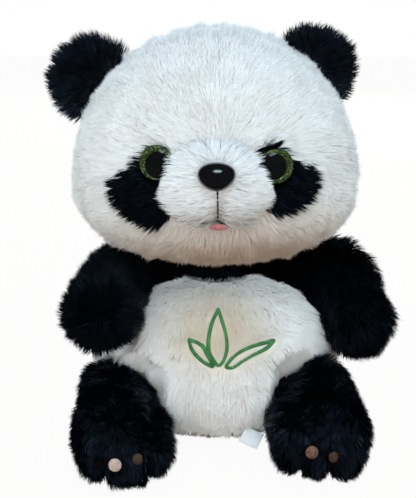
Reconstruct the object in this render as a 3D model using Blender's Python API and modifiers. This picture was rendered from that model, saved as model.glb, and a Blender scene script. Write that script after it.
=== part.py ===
"""Seated plush panda, modelled as the pieces it is sewn and assembled from.

Blender 4.5, metres, +Z up. The toy sits on z = 0 and faces -Y, so its own left side is +X.
The origin is the middle of the seat's flat underside.

Every soft piece is a fabric cover (a thin shell) round a stuffing solid. A cover's outer face lies
half way up the fur's pile. Limbs, head and tail turn in round sockets, as a stuffed limb does in the
hollow that it presses into its neighbour.
"""

import math

import bmesh
import bpy
from mathutils import Matrix, Vector
from mathutils.bvhtree import BVHTree

MM = 0.001

# Fabric and fits
COVER = 2.5 * MM            # backing cloth and the pressed root of the pile
STUFFING_INSET = 4.2 * MM   # from a cover's outer face to its stuffing
SEAM_GAP = 0.5 * MM         # half the gap between two panels that a seam joins
SOCKET_GAP = 1.5 * MM       # running room round a limb
LAY_GAP = 0.5 * MM          # between a sewn-on piece and the cover below it
EAR_GAP = 3.0 * MM          # lets an ear fold without touching the head
THREAD = 0.9 * MM           # radius of a satin-stitched line
FLAT_SNAP = 1.2 * MM        # a cover this near the floor lies flat on it

# How finely a limb is faceted, round it and along it
LIMB_SEGMENTS = 16
LIMB_RINGS = 10

# Pivots, all in the toy's own frame
NECK = Vector((0, -6, 131)) * MM
NECK_RADIUS = 26 * MM
NECK_OPEN = 18 * MM          # from the neck's middle to its cover's open ends
SHOULDER_LEFT = Vector((78, -3, 119.5)) * MM
SHOULDER_RIGHT = Vector((-70, -11, 115.5)) * MM
PAW_LEFT = Vector((104, -24, 86)) * MM
PAW_RIGHT = Vector((-79, -65, 106)) * MM
SHOULDER_RADIUS = 21 * MM
PAW_RADIUS = 24.5 * MM
HIP_LEFT = Vector((66, -40, 32)) * MM
HIP_RIGHT = Vector((-66, -43, 32)) * MM
FOOT_LEFT = Vector((69, -96, 28.5)) * MM
FOOT_RIGHT = Vector((-61, -107, 28.5)) * MM
HIP_RADIUS = 28 * MM
FOOT_RADII = Vector((32, 29, 27)) * MM     # half width, half height, half length
FOOT_POWER = 2.7                           # above 2 squares the foot's end
TAIL_ROOT = Vector((0, 74, 40)) * MM
TAIL_TIP = Vector((0, 88, 46)) * MM
TAIL_RADIUS = 12 * MM

# How far each limb swings about its own X axis, in degrees: forward and up is negative
ARM_SWING_LEFT = (-50, 12)
ARM_SWING_RIGHT = (-18, 20)
LEG_SWING = (-30, 8)
TAIL_SWING = (-12, 12)
SWING_STEPS = 4             # positions that a limb's hollow is shaped round
EAR_LEFT = Vector((73, 2, 267)) * MM
EAR_RIGHT = Vector((-89, 2, 262)) * MM
EAR_RADIUS = 28.5 * MM
EAR_HALF_THICK = 12 * MM

# The yoke's seam arches over the belly, falls to the sides and runs lower behind
YOKE_CREST = 114 * MM
YOKE_SLOPE = -0.29
YOKE_DROP = 21 * MM
YOKE_REACH = 80 * MM
SIDE_SEAM_Y = 12 * MM
SEAT_SEAM_HEIGHT = 15 * MM
HEAD_SEAM_Y = 2 * MM

# Safety eyes and nose
EYE_RADIUS = 11.5 * MM
PUPIL_RADIUS = 7.6 * MM
EYE_DOME = 4.8 * MM
EYE_X = 39 * MM
EYE_Z = {"left": 212.2 * MM, "right": 214.4 * MM}
EYE_TURN_OUT = math.radians(14)
EYE_TILT_UP = math.radians(8)
STEM_RADIUS = 2.2 * MM
STEM_LENGTH = 15 * MM
WASHER_RADIUS = 8 * MM
NOSE_RADII = Vector((12.2, 9.4, 8.5)) * MM    # half width, half height, height of the dome
NOSE_Z = 209 * MM
NOSE_TILT_UP = math.radians(24)

# Toe nails, sewn label
NAIL_RADII = Vector((5.2, 4.4, 2.2)) * MM
NAIL_SPACING = 14.5 * MM
NAIL_HEIGHT = 23 * MM
NAILS_MIDDLE = {"left": 70.7 * MM, "right": -59 * MM}
LABEL_SIZE = Vector((14, 14, 0.7)) * MM
LABEL_X = 24.5 * MM
LABEL_DIP = math.radians(45)

# Outlines in the toy's front view, as (x, z) in millimetres
LEAF_MIDDLE = ((1.8, 107.1), (-2.3, 99.8), (-4.7, 90.5), (-4.8, 81.3), (-1.6, 75), (1.9, 71), (5.3, 74.4),
               (7.7, 82), (7.2, 91), (4.3, 100.4))
LEAF_RIGHT = ((-18.6, 88.2), (-12.6, 86.3), (-8.2, 83.2), (-6.1, 79), (-3.2, 74), (-2.2, 70.4), (-7.8, 73),
              (-13, 77.2), (-17, 82.4))
LEAF_LEFT = ((40.8, 85.4), (32.2, 84.4), (24, 83), (16.1, 79.5), (11.2, 75.8), (7.2, 70), (12, 69.3),
             (18.6, 73.5), (25.9, 77.3), (35.8, 81))
PATCH_LEFT = ((22.5, 220), (27.7, 225.2), (35, 226.5), (41, 225.6), (47, 219), (53, 213), (61.5, 211.5),
              (66.5, 205.3), (67.5, 198), (63.5, 191), (60, 184.5), (51, 180.5), (41, 179.2), (32, 184),
              (27, 196), (23, 209))
PATCH_RIGHT = ((-26, 218), (-25, 208), (-26, 196), (-29, 184), (-33.5, 173.5), (-40, 169.8), (-49, 171),
               (-57.5, 175), (-65, 181), (-70.5, 188), (-70.5, 197), (-64, 204), (-56.5, 209.6),
               (-51, 216), (-45.3, 223.2), (-35.5, 226))
LIPS = ((-9.5, 176.6), (-6, 177), (-2.6, 178.4), (1, 179.8), (3.4, 178.2), (6.6, 177.2), (10, 176.8))

WHITE = (0.83, 0.84, 0.82)
CREAM = (0.78, 0.75, 0.68)
BLACK = (0.012, 0.013, 0.018)


class Egg:
    """A soft rounded body: an ellipse from above, whose height follows a superellipse that has its
    own size and power above and below the widest level. A floor flattens its underside."""

    def __init__(self, centre, radius_x, radius_y, up, down, power_up=2.0, power_down=2.0, floor=None):
        self.centre = Vector(centre)
        self.radius_x = radius_x
        self.radius_y = radius_y
        self.up = up
        self.down = down
        self.power_up = power_up
        self.power_down = power_down
        self.floor = floor

    def grown(self, by):
        """The same body, larger by this much all round, or smaller if it is negative."""
        floor = None if self.floor is None else self.floor - by
        return Egg(self.centre, self.radius_x + by, self.radius_y + by, self.up + by, self.down + by,
                   self.power_up, self.power_down, floor)

    def side(self, above):
        return (self.up, self.power_up) if above else (self.down, self.power_down)

    def point(self, direction):
        """The surface point that a unit sphere's point goes to."""
        level = math.hypot(direction.x, direction.y)
        height, power = self.side(direction.z > 0)
        spread = level ** (2 / power) / max(level, 1e-9)
        rise = math.copysign(abs(direction.z) ** (2 / power) * height, direction.z)
        offset = Vector((self.radius_x * spread * direction.x, self.radius_y * spread * direction.y, rise))
        place = self.centre + offset
        if self.floor is not None and place.z < self.floor + FLAT_SNAP:
            place.z = self.floor
        return place

    def front(self, x, z):
        """The surface point at the front, straight ahead of x and z."""
        height, power = self.side(z > self.centre.z)
        level = (1 - min(1, abs(z - self.centre.z) / height) ** power) ** (1 / power)
        reach = level ** 2 - ((x - self.centre.x) / self.radius_x) ** 2
        return Vector((x, self.centre.y - self.radius_y * math.sqrt(max(reach, 0)), z))


HEAD = Egg((0, -12 * MM, 190 * MM), 102 * MM, 81 * MM, 107 * MM, 57 * MM, 2.0, 2.5)
MUZZLE = Egg((0, -84 * MM, 199 * MM), 36 * MM, 26 * MM, 27 * MM, 27 * MM, 2.2, 2.3)
TORSO = Egg((0, 0, 57 * MM), 94 * MM, 77 * MM, 71 * MM, 60 * MM, 2.4, 3.4, floor=0)
PELLET_BAG = Egg((0, 6 * MM, 16 * MM), 33 * MM, 29 * MM, 20 * MM, 10 * MM, 2.0, 4.0)


class Limb:
    """A round-ended limb: a ball at its root, on the joint, and a superellipsoid at its end."""

    def __init__(self, root, end, root_radius, end_radii, power=2.0, floor=None):
        self.root = root
        self.root_radius = root_radius
        self.end_radii = end_radii
        self.power = power
        self.floor = floor
        along = (end - root).normalized()
        across = Vector((0, 0, 1)).cross(along).normalized()
        upward = along.cross(across)
        self.length = (end - root).length
        self.frame = Matrix((across, upward, along)).transposed().to_4x4()
        self.frame.translation = root

    def grown(self, by):
        """The same limb, larger by this much all round, or smaller if it is negative."""
        limb = Limb.__new__(Limb)
        limb.__dict__.update(self.__dict__)
        limb.root_radius = self.root_radius + by
        limb.end_radii = self.end_radii + Vector((by, by, by))
        limb.floor = None if self.floor is None else self.floor - by
        return limb

    def point(self, direction):
        """The surface point that a unit sphere's point goes to."""
        if direction.z < 0.01:
            local = direction * self.root_radius
        else:
            local = Vector(math.copysign(abs(share) ** (2 / self.power) * radius, share)
                           for share, radius in zip(direction, self.end_radii))
            local.z += self.length
        place = self.frame @ local
        if self.floor is not None and place.z < self.floor + FLAT_SNAP:
            place.z = self.floor
        return place


PAW_RADII = Vector((PAW_RADIUS, PAW_RADIUS, PAW_RADIUS))
ARM_LEFT = Limb(SHOULDER_LEFT, PAW_LEFT, SHOULDER_RADIUS, PAW_RADII)
ARM_RIGHT = Limb(SHOULDER_RIGHT, PAW_RIGHT, SHOULDER_RADIUS, PAW_RADII)
LEG_LEFT = Limb(HIP_LEFT, FOOT_LEFT, HIP_RADIUS, FOOT_RADII, FOOT_POWER, floor=0)
LEG_RIGHT = Limb(HIP_RIGHT, FOOT_RIGHT, HIP_RADIUS, FOOT_RADII, FOOT_POWER, floor=0)
TAIL = Limb(TAIL_ROOT, TAIL_TIP, TAIL_RADIUS, Vector((TAIL_RADIUS,) * 3))


# Scene, materials and objects

def clear_scene():
    for obj in list(bpy.data.objects):
        bpy.data.objects.remove(obj)


def new_collection(name):
    collection = bpy.data.collections.new(name)
    bpy.context.scene.collection.children.link(collection)
    return collection


def principled(name, colour, roughness, metallic=0.0, alpha=1.0):
    material = bpy.data.materials.new(name)
    material.use_nodes = True
    shader = material.node_tree.nodes["Principled BSDF"]
    shader.inputs["Base Color"].default_value = (*colour, 1)
    shader.inputs["Roughness"].default_value = roughness
    shader.inputs["Metallic"].default_value = metallic
    shader.inputs["Alpha"].default_value = alpha
    return material


def make_pivot(name, place, parent=None):
    """An empty on a joint, which carries the pieces that turn about it."""
    pivot = bpy.data.objects.new(name, None)
    pivot["place"] = list(place)
    pivot.location = place - (Vector(parent["place"]) if parent else Vector())
    pivot.parent = parent
    pivot.empty_display_size = 0.02
    panda.objects.link(pivot)
    return pivot


def add_piece(name, bm, pivot, material):
    """Makes an object from a mesh built in the toy's frame, with its origin on its pivot."""
    bm.transform(Matrix.Translation(-Vector(pivot["place"])))
    mesh = bpy.data.meshes.new(name)
    bm.to_mesh(mesh)
    bm.free()
    mesh.shade_smooth()
    mesh.set_sharp_from_angle(angle=math.radians(50))
    mesh.materials.append(material)
    piece = bpy.data.objects.new(name, mesh)
    piece.parent = pivot
    panda.objects.link(piece)
    return piece


def add_helper(name, bm):
    """A cutter or a joining shape, which isn't part of the toy."""
    mesh = bpy.data.meshes.new(name)
    bm.to_mesh(mesh)
    bm.free()
    helper = bpy.data.objects.new(name, mesh)
    helper.hide_render = True
    helper.display_type = "WIRE"
    cutters.objects.link(helper)
    return helper


def boolean(piece, helper, operation="DIFFERENCE"):
    modifier = piece.modifiers.new(helper.name, "BOOLEAN")
    modifier.operation = operation
    modifier.solver = "EXACT"
    modifier.object = helper


# Mesh shapes

def body_mesh(shape, segments, rings):
    """An Egg's or a Limb's closed surface, from a sphere whose points it moves."""
    bm = bmesh.new()
    bmesh.ops.create_uvsphere(bm, u_segments=segments, v_segments=rings, radius=1)
    for vert in bm.verts:
        vert.co = shape.point(vert.co)
    bm.normal_update()
    return bm


def keep_behind(bm, point, normal):
    """Cuts the mesh at a plane and keeps the side that the normal points away from."""
    everything = bm.verts[:] + bm.edges[:] + bm.faces[:]
    bmesh.ops.bisect_plane(bm, geom=everything, plane_co=point, plane_no=normal, clear_outer=True)


def solidify(piece, thickness, inward=True):
    modifier = piece.modifiers.new("thickness", "SOLIDIFY")
    modifier.thickness = thickness
    modifier.offset = -1 if inward else 1
    modifier.use_even_offset = True


def panel(name, shape, cuts, pivot, material, segments, rings):
    """One fabric panel: the part of a body's surface behind every cut, given the cover's thickness."""
    bm = body_mesh(shape, segments, rings)
    for point, normal in cuts:
        keep_behind(bm, point, normal)
    piece = add_piece(name, bm, pivot, material)
    solidify(piece, COVER)
    return piece


def sphere_cutter(name, centre, radius, segments=18, rings=12):
    bm = bmesh.new()
    bmesh.ops.create_uvsphere(bm, u_segments=segments, v_segments=rings, radius=radius)
    bm.transform(Matrix.Translation(centre))
    return add_helper(name, bm)


def egg_cutter(name, shape, segments, rings):
    return add_helper(name, body_mesh(shape, segments, rings))


def hollow_cutter(name, limb, swing):
    """The hollow that a limb presses into its neighbour: the hull of its positions as it swings."""
    low, high = (math.radians(angle) for angle in swing)
    room = limb.grown(SOCKET_GAP)
    bm = bmesh.new()
    for step in range(SWING_STEPS):
        turn = Matrix.Rotation(low + (high - low) * step / (SWING_STEPS - 1), 4, "X")
        about_root = Matrix.Translation(limb.root) @ turn @ Matrix.Translation(-limb.root)
        ball = body_mesh(room, 14, 8)
        for vert in ball.verts:
            bm.verts.new(about_root @ vert.co)
        ball.free()
    bmesh.ops.convex_hull(bm, input=bm.verts)
    loose = [vert for vert in bm.verts if not vert.link_faces]
    bmesh.ops.delete(bm, geom=loose, context="VERTS")
    return add_helper(name, bm)


def rod_cutter(name, frame, radius, low, high, segments=16):
    """A cylinder along a frame's Z axis, from low to high."""
    bm = bmesh.new()
    bmesh.ops.create_cone(bm, cap_ends=True, segments=segments, radius1=radius, radius2=radius, depth=high - low)
    bm.transform(frame @ Matrix.Translation((0, 0, (high + low) / 2)))
    return add_helper(name, bm)


def turned(name, profile, closed, frame, pivot, material, steps=16):
    """A turned piece about its frame's Z axis, from a profile of (radius, height) points."""
    mesh = bpy.data.meshes.new(name)
    points = [(radius, 0, height) for radius, height in profile]
    edges = [(i, i + 1) for i in range(len(points) - 1)]
    if closed:
        edges.append((len(points) - 1, 0))
    mesh.from_pydata(points, edges, [])
    mesh.materials.append(material)
    piece = bpy.data.objects.new(name, mesh)
    screw = piece.modifiers.new("turn", "SCREW")
    screw.steps = steps
    screw.render_steps = steps
    screw.use_merge_vertices = True
    screw.merge_threshold = 0.00001
    screw.use_smooth_shade = True
    piece.parent = pivot
    piece.matrix_local = Matrix.Translation(-Vector(pivot["place"])) @ frame
    panda.objects.link(piece)
    return piece


def thread(name, points, cyclic, pivot, material):
    """A line of satin stitch: a round-section curve through points of the toy's frame."""
    curve = bpy.data.curves.new(name, "CURVE")
    curve.dimensions = "3D"
    curve.bevel_depth = THREAD
    curve.bevel_resolution = 1
    curve.use_fill_caps = not cyclic
    spline = curve.splines.new("POLY")
    spline.points.add(len(points) - 1)
    for knot, place in zip(spline.points, points):
        knot.co = (*(place - Vector(pivot["place"])), 1)
    spline.use_cyclic_u = cyclic
    curve.materials.append(material)
    piece = bpy.data.objects.new(name, curve)
    piece.parent = pivot
    panda.objects.link(piece)
    return piece


def facing(place, tilt_up, turn_out=0.0):
    """A frame whose Z axis points out of the toy's front, X to its left and Y up."""
    towards_front = Matrix.Rotation(math.radians(90), 4, "X")
    turn = Matrix.Rotation(turn_out, 4, "Z")
    tilt = Matrix.Rotation(-tilt_up, 4, "X")
    return Matrix.Translation(place) @ turn @ tilt @ towards_front


# Torso

def yoke_seam_height(x, y):
    fall = (1 - math.cos(math.pi * min(abs(x) / YOKE_REACH, 1))) / 2
    return YOKE_CREST + YOKE_SLOPE * y - YOKE_DROP * fall


def below_yoke_seam(name, offset):
    """A block whose upper face is the yoke's seam, raised by the offset."""
    bm = bmesh.new()
    bmesh.ops.create_grid(bm, x_segments=12, y_segments=2, size=120 * MM)
    for vert in bm.verts:
        vert.co.z = yoke_seam_height(vert.co.x, vert.co.y) + offset
    under = bmesh.ops.extrude_face_region(bm, geom=bm.faces[:])["geom"]
    for item in under:
        if isinstance(item, bmesh.types.BMVert):
            item.co.z = -20 * MM
    bmesh.ops.recalc_face_normals(bm, faces=bm.faces)
    return add_helper(name, bm)


def build_torso():
    front = Vector((0, SIDE_SEAM_Y - SEAM_GAP, 0))
    rear = Vector((0, SIDE_SEAM_Y + SEAM_GAP, 0))
    over_seat = Vector((0, 0, SEAT_SEAM_HEIGHT + SEAM_GAP))
    under_seat = Vector((0, 0, SEAT_SEAM_HEIGHT - SEAM_GAP))
    down = Vector((0, 0, -1))
    size = {"segments": 24, "rings": 14}
    yoke = panel("shoulder_yoke", TORSO, [(Vector((0, 0, 0.6 * YOKE_CREST)), down)], root, black_fur, **size)
    belly = panel("belly_panel", TORSO, [(over_seat, down), (front, Vector((0, 1, 0)))], root, white_fur, **size)
    back = panel("back_panel", TORSO, [(over_seat, down), (rear, Vector((0, -1, 0)))], root, white_fur, **size)
    boolean(yoke, below_yoke_seam("under_yoke", SEAM_GAP))
    under_seam = below_yoke_seam("under_yoke_seam", -SEAM_GAP)
    for piece in (belly, back):
        boolean(piece, under_seam, "INTERSECT")
    seat = panel("seat_panel", TORSO, [(under_seat, -down)], root, white_fur, **size)
    stuffing = add_piece("torso_stuffing", body_mesh(TORSO.grown(-STUFFING_INSET), 20, 12), root, fibre)
    add_piece("pellet_bag", body_mesh(PELLET_BAG, 16, 10), root, cotton)
    bag_room = PELLET_BAG.grown(LAY_GAP)
    bag_room.down += 15 * MM
    boolean(stuffing, egg_cutter("bag_room", bag_room, 16, 10))
    for side in (arm_hollow_left, arm_hollow_right):
        for piece in (yoke, belly, back, stuffing):
            boolean(piece, side)
    for side in (leg_hollow_left, leg_hollow_right):
        for piece in (belly, seat, stuffing):
            boolean(piece, side)
    for piece in (yoke, belly, stuffing):
        boolean(piece, neck_socket)
    for piece in (back, stuffing):
        boolean(piece, tail_hollow)


def on_cover(shape, outline):
    """A front-view outline laid on a body's front, at the height of a thread sewn on it."""
    points = []
    for x, z in outline:
        place = shape.front(x * MM, z * MM)
        points.append(place + (place - shape.centre).normalized() * (THREAD + LAY_GAP))
    return points


def build_embroidery():
    thread("leaf_middle", on_cover(TORSO, LEAF_MIDDLE), True, root, green_thread)
    thread("leaf_right", on_cover(TORSO, LEAF_RIGHT), True, root, green_thread)
    thread("leaf_left", on_cover(TORSO, LEAF_LEFT), True, root, green_thread)


def build_label():
    """The sewn-in label, a folded strip that hangs from the seat's seam."""
    bm = bmesh.new()
    bmesh.ops.create_cube(bm, size=1)
    bmesh.ops.scale(bm, vec=LABEL_SIZE, verts=bm.verts)
    bm.transform(Matrix.Translation((0, -LABEL_SIZE.y / 2 - 1 * MM, 0)))
    bm.transform(Matrix.Translation(label_hinge) @ Matrix.Rotation(LABEL_DIP, 4, "X"))
    add_piece("label", bm, pivot_label, satin)


# Limbs, tail and neck

def build_limb(name, shape, pivot, cover_material):
    """A limb's cover, open at its root where it is sewn on, and the stuffing inside it."""
    bm = body_mesh(shape, LIMB_SEGMENTS, LIMB_RINGS)
    pole = min(bm.verts, key=lambda vert: (shape.frame.inverted() @ vert.co).z)
    bmesh.ops.delete(bm, geom=[pole], context="VERTS")
    cover = add_piece(name + "_cover", bm, pivot, cover_material)
    solidify(cover, COVER)
    add_piece(name + "_stuffing", body_mesh(shape.grown(-STUFFING_INSET), 12, 8), pivot, fibre)


def foot_front(shape, x, z):
    """The point of a foot's front at x and z, and the direction that it faces."""
    skin = body_mesh(shape, LIMB_SEGMENTS, LIMB_RINGS)
    place, normal, _, _ = BVHTree.FromBMesh(skin).ray_cast(Vector((x, -1, z)), Vector((0, 1, 0)))
    skin.free()
    return place, normal


def build_nails(side, shape, pivot, colours):
    """Two toe nails on a foot's front: padded ovals of suede cloth."""
    for number, offset in enumerate((-NAIL_SPACING / 2, NAIL_SPACING / 2), 1):
        place, normal = foot_front(shape, NAILS_MIDDLE[side] + offset, NAIL_HEIGHT)
        bm = bmesh.new()
        bmesh.ops.create_uvsphere(bm, u_segments=10, v_segments=6, radius=1)
        bmesh.ops.scale(bm, vec=NAIL_RADII, verts=bm.verts)
        turn = normal.to_track_quat("Z", "Y").to_matrix().to_4x4()
        bm.transform(Matrix.Translation(place + normal * (NAIL_RADII.z + LAY_GAP)) @ turn)
        add_piece(f"nail_{side}_{number}", bm, pivot, colours[number - 1])


def build_neck():
    """The neck: a barrel of black fabric, open above and below, round a firm ball of fibre."""
    ball = Egg(NECK, NECK_RADIUS, NECK_RADIUS, NECK_RADIUS, NECK_RADIUS)
    up = Vector((0, 0, 1))
    ends = [(NECK + up * NECK_OPEN, up), (NECK - up * NECK_OPEN, -up)]
    panel("neck_cover", ball, ends, pivot_neck, black_fur, 16, 10)
    add_piece("neck_stuffing", body_mesh(ball.grown(-STUFFING_INSET), 14, 8), pivot_neck, fibre)


# Head

def build_head():
    front = (Vector((0, HEAD_SEAM_Y - SEAM_GAP, 0)), Vector((0, 1, 0)))
    rear = (Vector((0, HEAD_SEAM_Y + SEAM_GAP, 0)), Vector((0, -1, 0)))
    face = panel("face_panel", HEAD, [front], pivot_head, white_fur, 24, 14)
    back = panel("head_back_panel", HEAD, [rear], pivot_head, white_fur, 24, 14)
    stuffing = add_piece("head_stuffing", body_mesh(HEAD.grown(-STUFFING_INSET), 20, 12), pivot_head, fibre)
    for piece in (face, back, stuffing):
        boolean(piece, neck_socket)
    for side, frame in eye_frames.items():
        boolean(face, rod_cutter(f"eye_hole_{side}", frame, STEM_RADIUS + LAY_GAP, -8 * MM, 4 * MM))
        boolean(stuffing, rod_cutter(f"washer_room_{side}", frame, WASHER_RADIUS + LAY_GAP, -19 * MM, 10 * MM))


def build_muzzle():
    head_room = egg_cutter("muzzle_seat", HEAD.grown(LAY_GAP), 24, 14)
    cover = panel("muzzle_cover", MUZZLE, [], pivot_head, white_fur, 20, 12)
    stuffing = add_piece("muzzle_stuffing", body_mesh(MUZZLE.grown(-STUFFING_INSET), 16, 10), pivot_head, fibre)
    far_half = (Vector((0, MUZZLE.centre.y + 6 * MM, 0)), Vector((0, 1, 0)))
    bm = body_mesh(MUZZLE, 20, 12)
    keep_behind(bm, *far_half)
    bm.transform(Matrix.Translation(-NECK))
    bm.to_mesh(cover.data)
    bm.free()
    for piece in (cover, stuffing):
        boolean(piece, head_room)
    for side, frame in eye_frames.items():
        eye_room = rod_cutter(f"eye_room_{side}", frame, EYE_RADIUS + LAY_GAP, -6 * MM, 16 * MM, 20)
        for piece in (cover, stuffing):
            boolean(piece, eye_room)
    boolean(cover, rod_cutter("nose_hole", nose_frame, STEM_RADIUS + LAY_GAP, -9 * MM, 4 * MM))
    boolean(stuffing, rod_cutter("nose_washer_room", nose_frame, WASHER_RADIUS + LAY_GAP, -14 * MM, 6 * MM))


def build_eye_patch(side, outline):
    """A drooping black patch sewn on the face, under the eye's seat and the muzzle's edge."""
    bm = bmesh.new()
    rings = 3
    knots = [Vector((x, z)) * MM for x, z in outline]
    middle = sum(knots, Vector((0, 0))) / len(knots)
    face = HEAD.grown(LAY_GAP)
    rows = []
    for ring in range(1, rings + 1):
        spread = [middle.lerp(knot, ring / rings) for knot in knots]
        rows.append([bm.verts.new(face.front(place.x, place.y)) for place in spread])
    hub = bm.verts.new(face.front(middle.x, middle.y))
    for i in range(len(knots)):
        j = (i + 1) % len(knots)
        bm.faces.new((hub, rows[0][i], rows[0][j]))
        for inner, outer in zip(rows, rows[1:]):
            bm.faces.new((inner[i], outer[i], outer[j], inner[j]))
    bmesh.ops.recalc_face_normals(bm, faces=bm.faces)
    if sum(face.normal.y for face in bm.faces) > 0:
        bmesh.ops.reverse_faces(bm, faces=bm.faces)
    patch = add_piece(f"eye_patch_{side}", bm, pivot_head, black_fur)
    solidify(patch, 1.0 * MM, inward=False)
    boolean(patch, egg_cutter(f"muzzle_room_{side}", MUZZLE.grown(0.8 * MM), 20, 12))
    boolean(patch, rod_cutter(f"patch_hole_{side}", eye_frames[side], STEM_RADIUS + LAY_GAP, -8 * MM, 6 * MM))


def build_eye(side):
    """A dome-fronted safety eye: stem with pupil boss, glitter iris, clear dome and lock washer."""
    frame = eye_frames[side]
    seat, plate, ring, dome = 0, 1.4 * MM, 2.3 * MM, 2.6 * MM
    turned(f"eye_stem_{side}", [
        (0, ring), (PUPIL_RADIUS, ring), (PUPIL_RADIUS, plate), (EYE_RADIUS, plate), (EYE_RADIUS, seat),
        (STEM_RADIUS, seat), (STEM_RADIUS, -STEM_LENGTH), (0, -STEM_LENGTH),
    ], False, frame, pivot_head, black_plastic)
    inner, outer = PUPIL_RADIUS + 0.3 * MM, EYE_RADIUS - 0.3 * MM
    turned(f"eye_iris_{side}", [(inner, ring), (outer, ring), (outer, plate + 0.3 * MM), (inner, plate + 0.3 * MM)],
           True, frame, pivot_head, glitter)
    arc = 6
    bulge = [(EYE_RADIUS * math.sin(math.pi / 2 * i / arc), dome + EYE_DOME * math.cos(math.pi / 2 * i / arc))
             for i in range(arc + 1)]
    turned(f"eye_dome_{side}", [*bulge, (0, dome)], False, frame, pivot_head, clear_plastic)
    turned(f"eye_washer_{side}", washer_profile(-9 * MM), True, frame, pivot_head, washer_plastic, steps=12)


def washer_profile(height):
    """A lock washer's section: a flat rim and a raised collar that grips the stem."""
    bore = STEM_RADIUS + 0.3 * MM
    return [(bore, height + 1.5 * MM), (4 * MM, height + 1.5 * MM), (4 * MM, height), (WASHER_RADIUS, height),
            (WASHER_RADIUS, height - 1 * MM), (bore, height - 1 * MM)]


def build_nose():
    """The oval safety nose: a domed front, broader above, with a stem held by a washer."""
    bm = bmesh.new()
    bmesh.ops.create_uvsphere(bm, u_segments=16, v_segments=10, radius=1)
    for vert in bm.verts:
        taper = 1 + 0.14 * vert.co.y
        vert.co = Vector((vert.co.x * NOSE_RADII.x * taper, vert.co.y * NOSE_RADII.y,
                          max(vert.co.z, -0.12) * NOSE_RADII.z))
    bm.transform(nose_frame @ Matrix.Translation((0, 0, 1.2 * MM)))
    nose = add_piece("nose", bm, pivot_head, black_plastic)
    boolean(nose, rod_cutter("nose_stem", nose_frame, STEM_RADIUS, -11 * MM, 3 * MM), "UNION")
    turned("nose_washer", washer_profile(-7 * MM), True, nose_frame, pivot_head, washer_plastic, steps=12)


def build_mouth():
    """The philtrum and the lip line in black stitch, and the felt tongue below them."""
    philtrum = [(0.6 + 0.04 * i, 200 - 2.3 * i) for i in range(9)]
    thread("philtrum_stitch", on_cover(MUZZLE, philtrum), False, pivot_head, black_thread)
    lips = on_cover(MUZZLE.grown(0.6 * MM), LIPS)
    thread("lip_stitch", lips, False, pivot_head, black_thread)
    bm = bmesh.new()
    bmesh.ops.create_uvsphere(bm, u_segments=12, v_segments=6, radius=1)
    bmesh.ops.scale(bm, vec=Vector((6, 1.1, 2.6)) * MM, verts=bm.verts)
    tilt = Matrix.Rotation(math.radians(38), 4, "X")
    bm.transform(Matrix.Translation(Vector((1.5, -99.5, 172.6)) * MM) @ tilt)
    add_piece("tongue", bm, pivot_head, pink_felt)


def ear_frame(centre):
    """A frame at an ear's middle: X along the fold, Y front to back, Z out of the head."""
    outward = Vector((centre.x, 0, centre.z - HEAD.centre.z)).normalized()
    back = Vector((0, 1, 0))
    frame = Matrix((back.cross(outward), back, outward)).transposed().to_4x4()
    frame.translation = centre
    return frame


def build_ear(side, centre, pivot):
    """A round padded ear: a cover open at the head's seam, and its stuffing."""
    frame = ear_frame(centre)
    shape = Egg((0, 0, 0), EAR_RADIUS, EAR_HALF_THICK, EAR_RADIUS, EAR_RADIUS)
    closed = body_mesh(shape, 18, 10)
    keep_behind(closed, Vector((0, 0, -EAR_RADIUS * 0.85)), Vector((0, 0, -1)))
    closed.transform(frame)
    cover = add_piece(f"ear_cover_{side}", closed, pivot, black_fur)
    solidify(cover, COVER)
    filling = body_mesh(shape.grown(-STUFFING_INSET), 12, 8)
    filling.transform(frame)
    stuffing = add_piece(f"ear_stuffing_{side}", filling, pivot, fibre)
    for piece in (cover, stuffing):
        boolean(piece, ear_room)


clear_scene()
panda = new_collection("plush_panda")
cutters = new_collection("cutters")

white_fur = principled("white_fur", WHITE, 0.9)
black_fur = principled("black_fur", BLACK, 0.85)
fibre = principled("stuffing_fibre", (0.9, 0.9, 0.88), 0.95)
cotton = principled("pellet_bag_cotton", CREAM, 0.9)
black_plastic = principled("black_plastic", (0.006, 0.006, 0.007), 0.12)
clear_plastic = principled("clear_plastic", (0.95, 0.97, 0.95), 0.05, alpha=0.25)
washer_plastic = principled("washer_plastic", (0.75, 0.75, 0.74), 0.5)
glitter = principled("iris_glitter", (0.16, 0.32, 0.07), 0.3, metallic=0.6)
green_thread = principled("green_thread", (0.035, 0.19, 0.05), 0.5)
black_thread = principled("black_thread", (0.012, 0.012, 0.014), 0.5)
pink_felt = principled("pink_felt", (0.62, 0.20, 0.20), 0.9)
brown_suede = principled("brown_suede", (0.17, 0.075, 0.045), 0.8)
pink_suede = principled("pink_suede", (0.42, 0.31, 0.26), 0.8)
satin = principled("label_satin", (0.85, 0.86, 0.88), 0.45)

label_hinge = TORSO.grown(LAY_GAP).front(LABEL_X, SEAT_SEAM_HEIGHT)
root = make_pivot("pivot_root", Vector())
pivot_neck = make_pivot("pivot_neck", NECK, root)
pivot_head = make_pivot("pivot_head", NECK, pivot_neck)
pivot_arm_left = make_pivot("pivot_arm_left", SHOULDER_LEFT, root)
pivot_arm_right = make_pivot("pivot_arm_right", SHOULDER_RIGHT, root)
pivot_leg_left = make_pivot("pivot_leg_left", HIP_LEFT, root)
pivot_leg_right = make_pivot("pivot_leg_right", HIP_RIGHT, root)
pivot_tail = make_pivot("pivot_tail", TAIL_ROOT, root)
pivot_label = make_pivot("pivot_label", label_hinge, root)
EAR_PIVOT_DEPTH = 13 * MM   # from an ear's middle back to its fold
pivot_ear_left = make_pivot("pivot_ear_left", ear_frame(EAR_LEFT) @ Vector((0, 0, -EAR_PIVOT_DEPTH)), pivot_head)
pivot_ear_right = make_pivot("pivot_ear_right", ear_frame(EAR_RIGHT) @ Vector((0, 0, -EAR_PIVOT_DEPTH)), pivot_head)

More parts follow.
